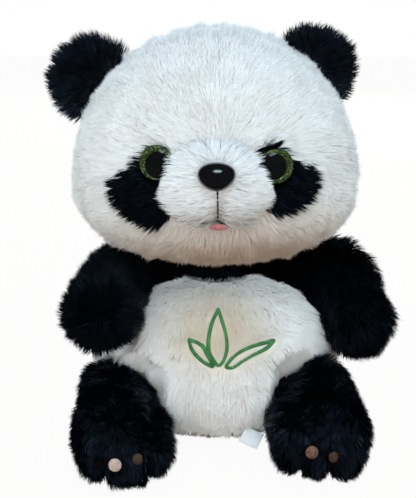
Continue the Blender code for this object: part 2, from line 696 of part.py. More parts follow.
neck_socket = sphere_cutter("neck_socket", NECK, NECK_RADIUS + SOCKET_GAP)
arm_hollow_left = hollow_cutter("arm_hollow_left", ARM_LEFT, ARM_SWING_LEFT)
arm_hollow_right = hollow_cutter("arm_hollow_right", ARM_RIGHT, ARM_SWING_RIGHT)
leg_hollow_left = hollow_cutter("leg_hollow_left", LEG_LEFT, LEG_SWING)
leg_hollow_right = hollow_cutter("leg_hollow_right", LEG_RIGHT, LEG_SWING)
tail_hollow = hollow_cutter("tail_hollow", TAIL, TAIL_SWING)
ear_room = egg_cutter("ear_room", HEAD.grown(EAR_GAP), 24, 14)

eye_frames = {}
for eye_side, eye_sign in (("left", 1), ("right", -1)):
    on_face = HEAD.grown(2.4 * MM).front(eye_sign * EYE_X, EYE_Z[eye_side])
    eye_frames[eye_side] = facing(on_face, EYE_TILT_UP, eye_sign * EYE_TURN_OUT)
nose_frame = facing(MUZZLE.grown(LAY_GAP).front(0, NOSE_Z), NOSE_TILT_UP)

build_torso()
build_embroidery()
build_label()
build_neck()
build_head()
build_muzzle()
build_eye_patch("left", PATCH_LEFT)
build_eye_patch("right", PATCH_RIGHT)
build_eye("left")
build_eye("right")
build_nose()
build_mouth()
build_ear("left", EAR_LEFT, pivot_ear_left)
build_ear("right", EAR_RIGHT, pivot_ear_right)
build_limb("arm_left", ARM_LEFT, pivot_arm_left, black_fur)
build_limb("arm_right", ARM_RIGHT, pivot_arm_right, black_fur)
build_limb("leg_left", LEG_LEFT, pivot_leg_left, black_fur)
build_limb("leg_right", LEG_RIGHT, pivot_leg_right, black_fur)
build_limb("tail", TAIL, pivot_tail, white_fur)
build_nails("left", LEG_LEFT, pivot_leg_left, (brown_suede, brown_suede))
build_nails("right", LEG_RIGHT, pivot_leg_right, (pink_suede, brown_suede))
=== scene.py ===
"""The looks of a seated plush panda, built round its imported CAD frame.

Every soft piece of the frame is stood for by a skin, filled by a cloth simulation, with a pile of
fur strands on it. The hard and sewn-on details are rebuilt finely in the places that the frame's
nodes give. Blender 4.5, metres, +Z up, the toy faces -Y.
"""

import math

import bpy
import numpy as np
from mathutils import Matrix, Vector
from mathutils.bvhtree import BVHTree
from mathutils.kdtree import KDTree


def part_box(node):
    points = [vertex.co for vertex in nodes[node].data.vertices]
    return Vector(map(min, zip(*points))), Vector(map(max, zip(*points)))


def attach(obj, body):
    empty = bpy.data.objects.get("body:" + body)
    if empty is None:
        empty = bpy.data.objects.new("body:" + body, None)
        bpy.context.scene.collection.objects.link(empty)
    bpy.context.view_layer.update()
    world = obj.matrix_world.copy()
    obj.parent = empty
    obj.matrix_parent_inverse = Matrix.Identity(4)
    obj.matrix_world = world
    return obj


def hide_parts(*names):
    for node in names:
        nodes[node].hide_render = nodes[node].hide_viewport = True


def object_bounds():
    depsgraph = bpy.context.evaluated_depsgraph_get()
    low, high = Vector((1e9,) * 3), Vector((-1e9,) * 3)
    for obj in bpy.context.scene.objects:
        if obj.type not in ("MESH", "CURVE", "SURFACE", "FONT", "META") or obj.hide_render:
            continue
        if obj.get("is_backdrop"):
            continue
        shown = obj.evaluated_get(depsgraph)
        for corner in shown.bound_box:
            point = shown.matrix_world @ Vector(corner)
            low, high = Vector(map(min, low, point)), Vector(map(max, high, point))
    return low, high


MM = 0.001
SEED = 20

# Skins
SKIN_INSET = 3.2 * MM        # from a cover's outer face to the cloth that the pile grows from
CLOTH_START = 1.6 * MM       # how much smaller than the skin a cloth starts
CLOTH_PRESSURE = 4.0
CLOTH_FRAMES = 14
CLOTH_MOST = 3.0 * MM        # the furthest that filling moves a point
FLOOR_GAP = 0.5 * MM         # nothing soft hangs lower than this over the floor
LIMB_INSET = 1.2 * MM        # limbs are fuller than the rest, so their cloth lies nearer the cover
SHAPING_REACH = 20 * MM      # how wide a push on a limb is
THIGH_GAP = 7 * MM           # from a thigh to the belly cloth that fills the room beside it

# Where each limb is fuller or flatter than a plain tube: a place and a push, both (x, z) in mm
LIMB_SHAPING = {
    "arm_left": [((100, 120), (8, 4))],
    "leg_left": [((82, 64), (7, 6)), ((48, 62), (4, -13))],
    "leg_right": [((-86, 64), (-11, 3)), ((-42, 58), (-5, -19))],
}
NAIL_RISE = {("left", 1): 4 * MM, ("right", 2): 4 * MM}  # toe pads that sit higher than the CAD's
EAR_SAG = {"left": (-4.4, 0, -2.7), "right": (1.8, 0, -4.6)}  # in mm, from the CAD's place
SEAM_DEPTH = 0.7 * MM        # how far the torso's cloth lies under the panels' insides

# Fur
SHARE = 1.0
STRAND_STEPS = 3
BLADE_POINTS = 7             # two at each step, and the tip
BLADE_FACES = np.array(((0, 1, 3), (0, 3, 2), (2, 3, 5), (2, 5, 4), (4, 5, 6)))

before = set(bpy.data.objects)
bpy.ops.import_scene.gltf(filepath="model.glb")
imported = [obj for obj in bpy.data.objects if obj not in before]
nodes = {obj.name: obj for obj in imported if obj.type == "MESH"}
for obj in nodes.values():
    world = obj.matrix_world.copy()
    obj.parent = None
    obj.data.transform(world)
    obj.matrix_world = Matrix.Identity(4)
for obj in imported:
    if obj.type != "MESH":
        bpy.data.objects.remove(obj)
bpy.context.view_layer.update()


# Arrays

def unit(vectors):
    """The same directions at length 1."""
    return vectors / np.maximum(np.linalg.norm(vectors, axis=-1, keepdims=True), 1e-12)


def smoothstep(low, high, value):
    share = np.clip((value - low) / (high - low), 0, 1)
    return share * share * (3 - 2 * share)


def along(vectors, normals):
    """The part of each vector that lies in the surface."""
    return vectors - normals * (vectors * normals).sum(-1, keepdims=True)


def node_arrays(*names):
    """The points and triangles of some CAD nodes together."""
    points, faces, start = [], [], 0
    for name in names:
        mesh = nodes[name].data
        co = np.zeros(len(mesh.vertices) * 3, np.float32)
        mesh.vertices.foreach_get("co", co)
        mesh.calc_loop_triangles()
        tri = np.zeros(len(mesh.loop_triangles) * 3, np.int32)
        mesh.loop_triangles.foreach_get("vertices", tri)
        points.append(co.reshape(-1, 3).astype(float))
        faces.append(tri.reshape(-1, 3) + start)
        start += len(points[-1])
    return np.concatenate(points), np.concatenate(faces)


def tree_of(points, faces):
    return BVHTree.FromPolygons(points.tolist(), faces.tolist())


def nearest_distances(tree, points, reach):
    """How far each point is from a surface, and which side of it: negative inside. Past reach, reach."""
    found = np.full(len(points), reach)
    for i, point in enumerate(points.tolist()):
        place, normal, _, distance = tree.find_nearest(point, reach)
        if place is not None:
            out = (Vector(point) - place).dot(normal)
            found[i] = distance if out >= 0 else -distance
    return found


def wave_field(points, scale, rng, count=7):
    """Smooth noise over space, about -1 to 1."""
    total = np.zeros(len(points))
    for _ in range(count):
        direction = unit(rng.normal(size=3))
        pace = 2 * math.pi / scale * rng.uniform(0.6, 1.5)
        total += np.sin(points @ direction * pace + rng.uniform(0, 6.3))
    return total / math.sqrt(count)


# Skins

def octasphere(steps):
    """A unit sphere of triangles, from a divided octahedron: its points, its faces, and where each
    face's corners lie on a square chart of the whole sphere."""
    corners, charts = [], []
    for sx in (1, -1):
        for sy in (1, -1):
            for sz in (1, -1):
                for i in range(steps):
                    for j in range(steps - i):
                        k = steps - i - j
                        cells = [((i, j, k), (i + 1, j, k - 1), (i, j + 1, k - 1))]
                        if k > 1:
                            cells.append(((i + 1, j, k - 1), (i + 1, j + 1, k - 2), (i, j + 1, k - 1)))
                        for cell in cells:
                            cell = cell if sx * sy * sz > 0 else cell[::-1]
                            corners.append([(sx * a, sy * b, sz * c) for a, b, c in cell])
                            flat = [(a / steps, b / steps) for a, b, _ in cell]
                            if sz < 0:
                                flat = [(1 - b, 1 - a) for a, b in flat]
                            charts.append([(0.5 + sx * u / 2, 0.5 + sy * v / 2) for u, v in flat])
    corners = np.array(corners).reshape(-1, 3)
    points, index = np.unique(corners, axis=0, return_inverse=True)
    return unit(points.astype(float)), index.reshape(-1, 3), np.array(charts)


def neighbour_means(values, faces):
    """Each point's mean over the points that it shares an edge with."""
    total = np.zeros_like(values)
    count = np.zeros(len(values))
    for a, b in ((0, 1), (1, 2), (2, 0)):
        for start, end in ((a, b), (b, a)):
            np.add.at(total, faces[:, start], values[faces[:, end]])
            np.add.at(count, faces[:, start], 1)
    return total / (count[:, None] if values.ndim > 1 else count)


def point_normals(points, faces):
    corner = points[faces]
    cross = np.cross(corner[:, 1] - corner[:, 0], corner[:, 2] - corner[:, 0])
    total = np.zeros_like(points)
    for k in range(3):
        np.add.at(total, faces[:, k], cross)
    return unit(total)


def outermost(panels, centre, points):
    """Which of some nodes lies furthest out over each point, seen from the centre."""
    sizes = [len(node_arrays(panel)[1]) for panel in panels]
    owner = np.repeat(np.arange(len(panels)), sizes)
    tree = tree_of(*node_arrays(*panels))
    found = np.zeros(len(points), int)
    for i, direction in enumerate(unit(points - centre)):
        _, _, index, _ = tree.ray_cast(Vector(centre + direction * 0.2), Vector(-direction), 0.2)
        if index is None:
            _, _, index, _ = tree.find_nearest(Vector(points[i]))
        found[i] = owner[index]
    return found


class Skin:
    """The cloth surface round some CAD nodes: points, faces, chart, normals, and each face's panel."""

    def __init__(self, name, centre, steps, panels, backing=(), inset=SKIN_INSET, relax=2, fallback=20 * MM):
        self.name = name
        centre = np.array(centre, float)
        directions, faces, chart = octasphere(steps)
        points, triangles = node_arrays(*panels, *backing)
        tree = tree_of(points, triangles)
        reach = np.linalg.norm(points - centre, axis=1).max() + 0.02
        radius = np.zeros(len(directions))
        for i, direction in enumerate(directions):
            start = Vector(centre + direction * reach)
            place, _, _, distance = tree.ray_cast(start, Vector(-direction), reach)
            radius[i] = reach - distance if place is not None else 0
        self.missed = radius == 0
        radius[self.missed] = fallback
        for _ in range(3):
            radius = np.maximum(radius, neighbour_means(radius, faces) - 1.2 * MM)
        shape = centre + directions * radius[:, None]
        for _ in range(relax):
            shape += (neighbour_means(shape, faces) - shape) * 0.6
        shape = shape - point_normals(shape, faces) * inset
        self.faces, self.chart = faces, chart
        self.shape_to(shape)
        self.panel = outermost(panels, centre, shape[faces].mean(1))

    def shape_to(self, points):
        points[:, 2] = np.maximum(points[:, 2], FLOOR_GAP)
        self.points = points
        self.normals = point_normals(points, self.faces)

    def seams(self):
        """The points where two panels meet, which a seam holds while the cloth fills."""
        low = np.full(len(self.points), 99)
        high = np.full(len(self.points), -1)
        for k in range(3):
            np.minimum.at(low, self.faces[:, k], self.panel)
            np.maximum.at(high, self.faces[:, k], self.panel)
        return low != high

    def tree(self):
        return tree_of(self.points, self.faces)


def mesh_of(name, points, faces):
    """A Blender mesh from arrays, every face with the same number of corners."""
    mesh = bpy.data.meshes.new(name)
    sides = faces.shape[1]
    mesh.vertices.add(len(points))
    mesh.loops.add(faces.size)
    mesh.polygons.add(len(faces))
    mesh.vertices.foreach_set("co", np.ascontiguousarray(points, np.float32).ravel())
    mesh.loops.foreach_set("vertex_index", np.ascontiguousarray(faces, np.int32).ravel())
    mesh.polygons.foreach_set("loop_start", np.arange(0, faces.size, sides, dtype=np.int32))
    mesh.polygons.foreach_set("use_smooth", np.ones(len(faces), bool))
    mesh.update(calc_edges=True)
    return mesh


def add_piece(mesh, material, body, stands_for):
    """A piece of the toy, named as its mesh, which rides on a body and stands for some CAD nodes."""
    mesh.materials.append(material)
    obj = bpy.data.objects.new(mesh.name, mesh)
    bpy.context.scene.collection.objects.link(obj)
    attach(obj, body)
    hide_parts(*stands_for)


def fill_with_stuffing(skins):
    """Simulates every skin as cloth blown up by its stuffing, with its seams held."""
    scene = bpy.context.scene
    cloths = []
    for skin in skins:
        start = skin.points - skin.normals * CLOTH_START
        held = skin.seams() | skin.missed
        start[held] = skin.points[held]
        obj = bpy.data.objects.new("cloth_" + skin.name, mesh_of("cloth_" + skin.name, start, skin.faces))
        scene.collection.objects.link(obj)
        group = obj.vertex_groups.new(name="seams")
        group.add(np.flatnonzero(held).tolist(), 1, "REPLACE")
        settings = obj.modifiers.new("Cloth", "CLOTH").settings
        settings.quality = 4
        settings.mass = 0.2
        settings.tension_stiffness = settings.compression_stiffness = 20
        settings.bending_stiffness = 0.4
        settings.use_pressure = True
        settings.uniform_pressure_force = CLOTH_PRESSURE
        settings.vertex_group_mass = "seams"
        settings.effector_weights.gravity = 0
        cloths.append((skin, obj))
    for number in range(1, CLOTH_FRAMES + 1):
        scene.frame_set(number)
    graph = bpy.context.evaluated_depsgraph_get()
    for skin, obj in cloths:
        mesh = obj.evaluated_get(graph).to_mesh()
        co = np.zeros(len(mesh.vertices) * 3, np.float32)
        mesh.vertices.foreach_get("co", co)
        moved = co.reshape(-1, 3).astype(float) - skin.points
        length = np.linalg.norm(moved, axis=1, keepdims=True)
        moved *= np.minimum(1, CLOTH_MOST / np.maximum(length, 1e-9))
        obj.evaluated_get(graph).to_mesh_clear()
        skin.shape_to(skin.points + moved)
        bpy.data.objects.remove(obj)
    scene.frame_set(1)


# Materials

SLOTS = {  # the record's slot for each material, where it goes by another name
    "face_fur": "white_fur", "belly_fur": "white_fur", "muzzle_fur": "white_fur",
    "glossy_fur_painted_highlights": "black_fur", "brown_suede_painted_shade": "brown_suede",
    "nose_plastic": "black_plastic", "eye_plastic": "black_plastic",
}
WHITE = (1, 1, 1)
MOTTLE = [(0.35, (0.94, 0.93, 0.91)), (0.65, WHITE)]
MOTTLE_SCALE = 26
FLAKE_SCALE = 1500
FLAKES = [(0.0, (0.006, 0.011, 0.003)), (0.55, (0.030, 0.055, 0.012)), (0.86, (0.10, 0.17, 0.035)),
          (1.0, (0.45, 0.50, 0.24))]
LENS_SHINE = 0.035           # the share of the clear domes that mirrors


def set_socket(socket, value):
    """Gives a socket a link, a colour or a plain value."""
    if isinstance(value, bpy.types.NodeSocket):
        socket.id_data.links.new(value, socket)
    elif socket.type == "RGBA":
        socket.default_value = (*value, 1)
    else:
        socket.default_value = value


def fill_inputs(node, **values):
    """Fills a node's inputs, named with _ for each space."""
    for name, value in values.items():
        set_socket(node.inputs[name.replace("_", " ")], value)
    return node


def new_node(tree, kind, **values):
    return fill_inputs(tree.nodes.new("ShaderNode" + kind), **values)


def new_material(name):
    material = bpy.data.materials.new(name)
    material["slot"] = SLOTS.get(name, name)
    material.use_nodes = True
    tree = material.node_tree
    return material, tree, tree.nodes["Principled BSDF"]


def own_place(tree):
    """Each point's place in its own piece."""
    return new_node(tree, "TexCoord").outputs["Object"]


def noise(tree, scale, detail=3):
    return new_node(tree, "TexNoise", Scale=scale, Detail=detail, Vector=own_place(tree)).outputs["Fac"]


def field(tree, name):
    """A value that the mesh holds at each point."""
    node = new_node(tree, "Attribute")
    node.attribute_name = name
    return node.outputs["Fac"]


def ramp(tree, source, stops):
    """The colour on a ramp of (position, colour) pairs."""
    node = new_node(tree, "ValToRGB", Fac=source)
    elements = node.color_ramp.elements
    while len(elements) < len(stops):
        elements.new(0.5)
    for element, (position, colour) in zip(elements, stops):
        element.position = position
        element.color = (*colour, 1)
    return node.outputs["Color"]


def mixed(tree, share, first, second, mode="MIX"):
    """A mix of two colours."""
    node = new_node(tree, "Mix")
    node.data_type = "RGBA"
    node.blend_type = mode
    values = {"Factor": share, "A": first, "B": second}
    for socket in node.inputs:
        if socket.enabled:
            set_socket(socket, values[socket.name])
    return next(socket for socket in node.outputs if socket.enabled)


def mix_shaders(tree, share, first, second):
    """Sends a mix of two shaders to the material's output."""
    node = new_node(tree, "MixShader")
    for socket, value in zip(node.inputs, (share, first, second)):
        set_socket(socket, value)
    fill_inputs(tree.nodes["Material Output"], Surface=node.outputs["Shader"])


def fur_material(name, root, tip, tufts, roughness, specular, sheen, tint=WHITE, painted_shade=None):
    """Pile: darker at its roots, which is painted shade down among the strands, each tuft a little lighter or
    darker, and mottled over the cloth.

    The last argument is an egg of painted shade that tints the pile warmer and darker: its centre, the scale
    along each axis, the radii that it fades between, and its tint.
    """
    material, tree, surface = new_material(name)
    layers = [ramp(tree, field(tree, "tuft"), [(0, (1 - tufts,) * 3), (1, WHITE)]),
              ramp(tree, noise(tree, MOTTLE_SCALE), MOTTLE)]
    # Inside the egg the pile is tinted warmer and darker: painted shade.
    if painted_shade:
        centre, scale, near, far, painted_shade_tint = painted_shade
        egg = new_node(tree, "Mapping", Vector=own_place(tree), Scale=scale,
                       Location=-Vector(centre) * Vector(scale))
        distance = new_node(tree, "VectorMath", Vector=egg.outputs["Vector"])
        distance.operation = "LENGTH"
        fade = new_node(tree, "MapRange", From_Min=near, From_Max=far, Value=distance.outputs["Value"])
        fade.interpolation_type = "SMOOTHSTEP"
        layers.append(ramp(tree, fade.outputs["Result"], [(0, painted_shade_tint), (1, WHITE)]))
    colour = ramp(tree, field(tree, "height"), [(0, root), (1, tip)])
    for layer in layers:
        colour = mixed(tree, 1.0, colour, layer, "MULTIPLY")
    fill_inputs(surface, Base_Color=colour, Roughness=roughness, Specular_IOR_Level=specular,
                Specular_Tint=tint, Sheen_Weight=sheen, Sheen_Roughness=0.4)
    return material


def speckled_material(name, dark, light, scale, roughness, bump=0.0, **values):
    """A surface whose colour wanders between two tones, with an optional fine relief."""
    material, tree, surface = new_material(name)
    grain = noise(tree, scale, 6)
    fill_inputs(surface, Base_Color=ramp(tree, grain, [(0.3, dark), (0.7, light)]), Roughness=roughness,
                **values)
    if bump:
        relief = new_node(tree, "Bump", Strength=bump, Distance=0.3 * MM, Height=grain)
        fill_inputs(surface, Normal=relief.outputs["Normal"])
    return material


def glitter_material(name):
    """A green iris of metal flakes under clear plastic: each flake has its own tone."""
    material, tree, surface = new_material(name)
    flakes = new_node(tree, "TexVoronoi", Scale=FLAKE_SCALE, Vector=own_place(tree))
    tone = new_node(tree, "SeparateColor", Color=flakes.outputs["Color"]).outputs["Red"]
    fill_inputs(surface, Base_Color=ramp(tree, tone, FLAKES), Metallic=0.35, Roughness=0.35)
    return material


def dome_material(name):
    """Clear plastic: mostly see-through, with a sharp shine."""
    material, tree, surface = new_material(name)
    fill_inputs(surface, Base_Color=WHITE, Metallic=1, Roughness=0.06)
    clear = new_node(tree, "BsdfTransparent")
    mix_shaders(tree, LENS_SHINE, clear.outputs["BSDF"], surface.outputs["BSDF"])
    return material


# The white pile's roots are darker and warmer than its tips: painted shade down among the strands.
WHITE_ROOT, WHITE_TIP = (0.86, 0.82, 0.76), (0.95, 0.945, 0.93)
# Eggs of painted shade, warmer and darker. Under the chin they stand for the shade and warm bounce light
# there. On the upper belly they stand for the head's shadow and the hollow round the leaves.
CHIN_PAINTED_SHADE = ((0.018, -0.07, 0.105), (0.55, 0.6, 1.0), 0.035, 0.092, (0.61, 0.47, 0.37))
BELLY_PAINTED_SHADE = ((0.002, -0.085, 0.096), (0.85, 1.0, 1.0), 0.010, 0.056, (0.75, 0.65, 0.50))
BLUE_SHINE = (0.55, 0.75, 1.0)
white_fur = fur_material("white_fur", WHITE_ROOT, WHITE_TIP, 0.05, 0.85, 0.15, 0.1)
face_fur = fur_material("face_fur", WHITE_ROOT, WHITE_TIP, 0.05, 0.85, 0.15, 0.1, painted_shade=CHIN_PAINTED_SHADE)
# The belly's pile is paler than the rest of the white pile: painted light on a belly that the head shades.
# Its egg adds painted shade below the chin.
belly_fur = fur_material("belly_fur", (0.94, 0.92, 0.88), (0.98, 0.98, 0.97), 0.03, 0.85, 0.15, 0.1,
                         painted_shade=BELLY_PAINTED_SHADE)
# The muzzle's pile is paler and cooler than the face's: painted light.
muzzle_fur = fur_material("muzzle_fur", (0.90, 0.88, 0.85), (0.98, 0.98, 0.98), 0.04, 0.85, 0.15, 0.2)
black_fur = fur_material("black_fur", (0.0006, 0.0007, 0.001), (0.0028, 0.0038, 0.007), 0.6, 0.42, 0.28,
                         0.0, BLUE_SHINE)
# The ears' and legs' black pile shines more, and its tips are lighter and bluer: painted highlights.
glossy_fur_painted_highlights = fur_material("glossy_fur_painted_highlights", (0.0008, 0.0010, 0.0016), (0.0095, 0.013, 0.022), 0.6, 0.38, 0.60,
                          0.0, BLUE_SHINE)
nose_plastic = speckled_material("nose_plastic", (0.002, 0.002, 0.003), (0.004, 0.004, 0.005), 60, 0.14,
                                 Specular_IOR_Level=0.8, Coat_Weight=0.6, Coat_Roughness=0.05)
eye_plastic = speckled_material("eye_plastic", (0.002, 0.002, 0.002), (0.004, 0.004, 0.004), 60, 0.6,
                                Specular_IOR_Level=0.1)
clear_plastic = dome_material("clear_plastic")
iris_glitter = glitter_material("iris_glitter")
green_thread = speckled_material("green_thread", (0.022, 0.11, 0.022), (0.06, 0.26, 0.075), 240, 0.5)
black_thread = speckled_material("black_thread", (0.004, 0.004, 0.005), (0.02, 0.02, 0.022), 300, 0.6)
pink_felt = speckled_material("pink_felt", (0.42, 0.13, 0.13), (0.58, 0.24, 0.23), 700, 0.95, 0.6)
# A darker copy of the brown suede for the second toe pads, half hidden under the pile: painted shade.
brown_suede_painted_shade = speckled_material("brown_suede_painted_shade", (0.03, 0.014, 0.009), (0.085, 0.043, 0.028), 500, 0.9, 0.6)
brown_suede = speckled_material("brown_suede", (0.07, 0.032, 0.020), (0.19, 0.095, 0.060), 500, 0.9, 0.6)
pink_suede = speckled_material("pink_suede", (0.38, 0.27, 0.23), (0.55, 0.43, 0.37), 500, 0.9, 0.6)
label_satin = speckled_material("label_satin", (0.80, 0.80, 0.80), (0.88, 0.88, 0.88), 300, 0.35)


# Fur

class Fur:
    """How a pile grows. Strands per mm2, lengths in metres, angles in degrees from the cloth.

    lifts are a strand's angles at its root and tip. pull gathers the tufts, swirl and unruly turn the
    comb, soften blends the strands' shading into the cloth's, and coarse lessens that by its first
    number between two heights. rise is a function that lifts the tips.
    """

    def __init__(self, density, length, width, lifts, tuft_size, pull, swirl, unruly, soften,
                 droop=0.0, rise=None, coarse=(0, 1, 0)):
        self.density, self.length, self.width = density * 1e6, length, width
        self.lifts = [math.radians(a) for a in lifts]
        self.tuft_size, self.pull = tuft_size, pull
        self.swirl, self.unruly, self.soften, self.droop = swirl, unruly, soften, droop
        self.rise, self.coarse = rise, coarse


def grow(skin, chosen, fur, comb, limit, clear_of, rng):
    """Strands rooted on the chosen faces: flat tapering blades in tufts. Returns their arrays."""
    corner = skin.points[skin.faces[chosen]]
    area = np.linalg.norm(np.cross(corner[:, 1] - corner[:, 0], corner[:, 2] - corner[:, 0]), axis=1) / 2
    count = rng.poisson(area * fur.density * SHARE)
    pick = np.repeat(np.arange(len(chosen)), count)
    spot = rng.random((len(pick), 2))
    spot = np.where(spot.sum(1, keepdims=True) > 1, 1 - spot, spot)
    weight = np.column_stack((1 - spot.sum(1), spot))[:, :, None]
    root = (corner[pick] * weight).sum(1)
    normal = unit((skin.normals[skin.faces[chosen[pick]]] * weight).sum(1))
    chart = (skin.chart[chosen[pick]] * weight).sum(1)

    lean = unit(along(comb(root, normal), normal))
    waves = np.random.default_rng(SEED)
    turn = wave_field(root, 0.035, waves) * fur.swirl + rng.normal(0, fur.unruly, len(root))
    side = np.cross(normal, lean)
    lean = lean * np.cos(turn)[:, None] + side * np.sin(turn)[:, None]
    length = fur.length * rng.uniform(0.72, 1.08, len(root)) * (1 + 0.10 * wave_field(root, 0.02, waves))
    length = np.minimum(length, limit(root, lean))
    keep = length > 1.0 * MM
    for tree, gap in clear_of:
        spots = root[keep] + normal[keep] * np.minimum(length[keep], 4 * MM)[:, None]
        keep[np.flatnonzero(keep)[nearest_distances(tree, spots, 0.012) < gap]] = False
    root, normal, chart, lean, length, pick = (a[keep] for a in (root, normal, chart, lean, length, pick))
    total = len(root)

    stand, lie = fur.lifts
    lie = lie + fur.rise(root, lean) if fur.rise else np.full(total, lie)
    sway = rng.normal(0, 0.12, total) + 0.15 * wave_field(root, 0.015, waves)
    line = [root - normal * 0.3 * MM]
    for step in range(STRAND_STEPS):
        angle = stand + (lie - stand) * (step + 0.4) / STRAND_STEPS + sway
        reach = lean * np.cos(angle)[:, None] + normal * np.sin(angle)[:, None]
        reach[:, 2] -= fur.droop * (step + 1) / STRAND_STEPS
        line.append(line[-1] + unit(reach) * (length / STRAND_STEPS)[:, None])
    line = np.array(line)

    # Tufts: each strand's tip is drawn towards that of the nearest of some leading strands
    leaders = rng.permutation(total)[: max(1, int(area.sum() / fur.tuft_size**2))]
    kd = KDTree(len(leaders))
    for i, place in enumerate(root[leaders].tolist()):
        kd.insert(place, i)
    kd.balance()
    leader = leaders[np.array([kd.find(place)[1] for place in root.tolist()], int)]
    scale = (length / length[leader])[:, None]
    tuft_tone = rng.random(total)[leader] * 0.7 + rng.random(total) * 0.3
    pull = fur.pull * rng.uniform(0.6, 1.0, total)[:, None]
    for step in range(1, STRAND_STEPS + 1):
        target = root[leader] + (line[step][leader] - root[leader]) * scale + (root - root[leader]) * 0.15
        line[step] += (target - line[step]) * pull * (step / STRAND_STEPS) ** 1.3
    line[:, :, 2] = np.maximum(line[:, :, 2], FLOOR_GAP)

    # Blades
    heading = unit(line[1:] - line[:-1])
    roll = rng.normal(0, 0.5, total)[:, None]
    widths = fur.width * rng.uniform(0.75, 1.25, total) * (1 if SHARE == 1 else 1.5)
    widths *= np.clip(length / fur.length, 0.45, 1)
    points, normals, heights = [], [], []
    more, high, low = fur.coarse
    soften = (fur.soften - more * smoothstep(high, low, root[:, 2]))[:, None]
    for step, share in enumerate((0.8, 1.0, 0.7)):
        across = unit(np.cross(heading[step], normal))
        up = np.cross(across, heading[step])
        across = unit(across * np.cos(roll) + up * np.sin(roll))
        facing = unit(np.cross(across, heading[step]))
        base = unit(facing * (1 - soften) + normal * soften)
        for hand in (-1, 1):
            points.append(line[step] + across * (hand * share * widths / 2)[:, None])
            normals.append(unit(base + across * 0.45 * hand * (1 - soften)))
            heights.append(np.full(total, step / STRAND_STEPS))
    points.append(line[3])
    normals.append(unit(facing * (1 - soften) + normal * soften))
    heights.append(np.ones(total))
    return {
        "points": np.array(points).transpose(1, 0, 2),
        "normals": np.array(normals).transpose(1, 0, 2),
        "height": np.array(heights).T,
        "tuft": np.repeat(tuft_tone[:, None], BLADE_POINTS, axis=1),
        "chart": np.repeat(chart[:, None], BLADE_FACES.size, axis=1),
        "face": chosen[pick],
    }


def fur_pieces(name, skin, parts, fur, comb, limit, clear_of, material, body, stands_for, seed):
    """One region's fur, as a piece for each part of its faces. The first stands for the CAD nodes."""
    rng = np.random.default_rng(SEED + seed)
    strands = grow(skin, np.concatenate(parts), fur, comb, limit, clear_of, rng)
    for number, part in enumerate(parts, 1):
        mine = np.isin(strands["face"], part)
        used, index = np.unique(skin.faces[part], return_inverse=True)
        blades = (np.arange(mine.sum())[:, None, None] * BLADE_POINTS + BLADE_FACES).reshape(-1, 3)
        points = np.concatenate((skin.points[used], strands["points"][mine].reshape(-1, 3)))
        full_name = name if len(parts) == 1 else f"{name}_{number}"
        mesh = mesh_of(full_name, points, np.concatenate((index.reshape(-1, 3), blades + len(used))))
        normals = np.concatenate((skin.normals[used], strands["normals"][mine].reshape(-1, 3)))
        mesh.attributes.new("custom_normal", "FLOAT_VECTOR", "POINT").data.foreach_set(
            "vector", normals.astype(np.float32).ravel())
        for field, ground in (("height", 0.0), ("tuft", 0.5)):
            values = np.concatenate((np.full(len(used), ground), strands[field][mine].ravel()))
            mesh.attributes.new(field, "FLOAT", "POINT").data.foreach_set("value", values.astype(np.float32))
        chart = np.concatenate((skin.chart[part].reshape(-1, 2), strands["chart"][mine].reshape(-1, 2)))
        mesh.uv_layers.new(name="OFBake").data.foreach_set("uv", chart.astype(np.float32).ravel())
        add_piece(mesh, material, body, stands_for if number == 1 else ())


def keep_off(places, radii, slope=1.0, base=1.0 * MM, away=2.5):
    """A limit on strand length near some places, so that the fur never covers them."""
    places, radii = np.array(places, float), np.broadcast_to(radii, len(places))
    low, high = places.min(0) - 0.03, places.max(0) + 0.03

    def limit(root, lean):
        most = np.full(len(root), 1.0)
        near = np.flatnonzero(((root > low) & (root < high)).all(1))
        for part in np.array_split(near, max(1, len(near) // 4000)):
            if not len(part):
                continue
            gap = places[None] - root[part, None]
            distance = np.linalg.norm(gap, axis=2)
            free = distance - radii
            best = free.argmin(1)
            rows = np.arange(len(part))
            toward = (gap[rows, best] * lean[part]).sum(1) / np.maximum(distance[rows, best], 1e-9)
            steep = slope * (1 + away * np.maximum(0, -toward))
            most[part] = np.where(free[rows, best] < 0, 0, base + steep * np.maximum(free[rows, best], 0))
        return most

    return limit


def no_limit(root, lean):
    return np.full(len(root), 1.0)


def short_by(tree, base, slope):
    """Shorter strands beside a neighbour, for a clean edge."""
    return lambda root, lean: base + slope * np.abs(nearest_distances(tree, root, 0.03))


def all_limits(*limits):
    return lambda root, lean: np.min([limit(root, lean) for limit in limits], axis=0)


# Where the details are

def flat_frame(node, lift):
    """The frame of a flat turned node: its middle, sunk by lift, and its axis, out of the toy."""
    points, _ = node_arrays(node)
    middle = points.mean(0)
    axis = np.linalg.svd(points - middle, full_matrices=False)[2][2]
    axis = axis if axis[1] < 0 else -axis
    return Vector(middle - axis * lift), Vector(axis)


def facing_matrix(place, axis):
    """Z along axis, Y as near upright as can be."""
    z = Vector(axis).normalized()
    x = Vector((0, 0, 1)).cross(z).normalized()
    matrix = Matrix((x, z.cross(x), z)).transposed().to_4x4()
    matrix.translation = place
    return matrix


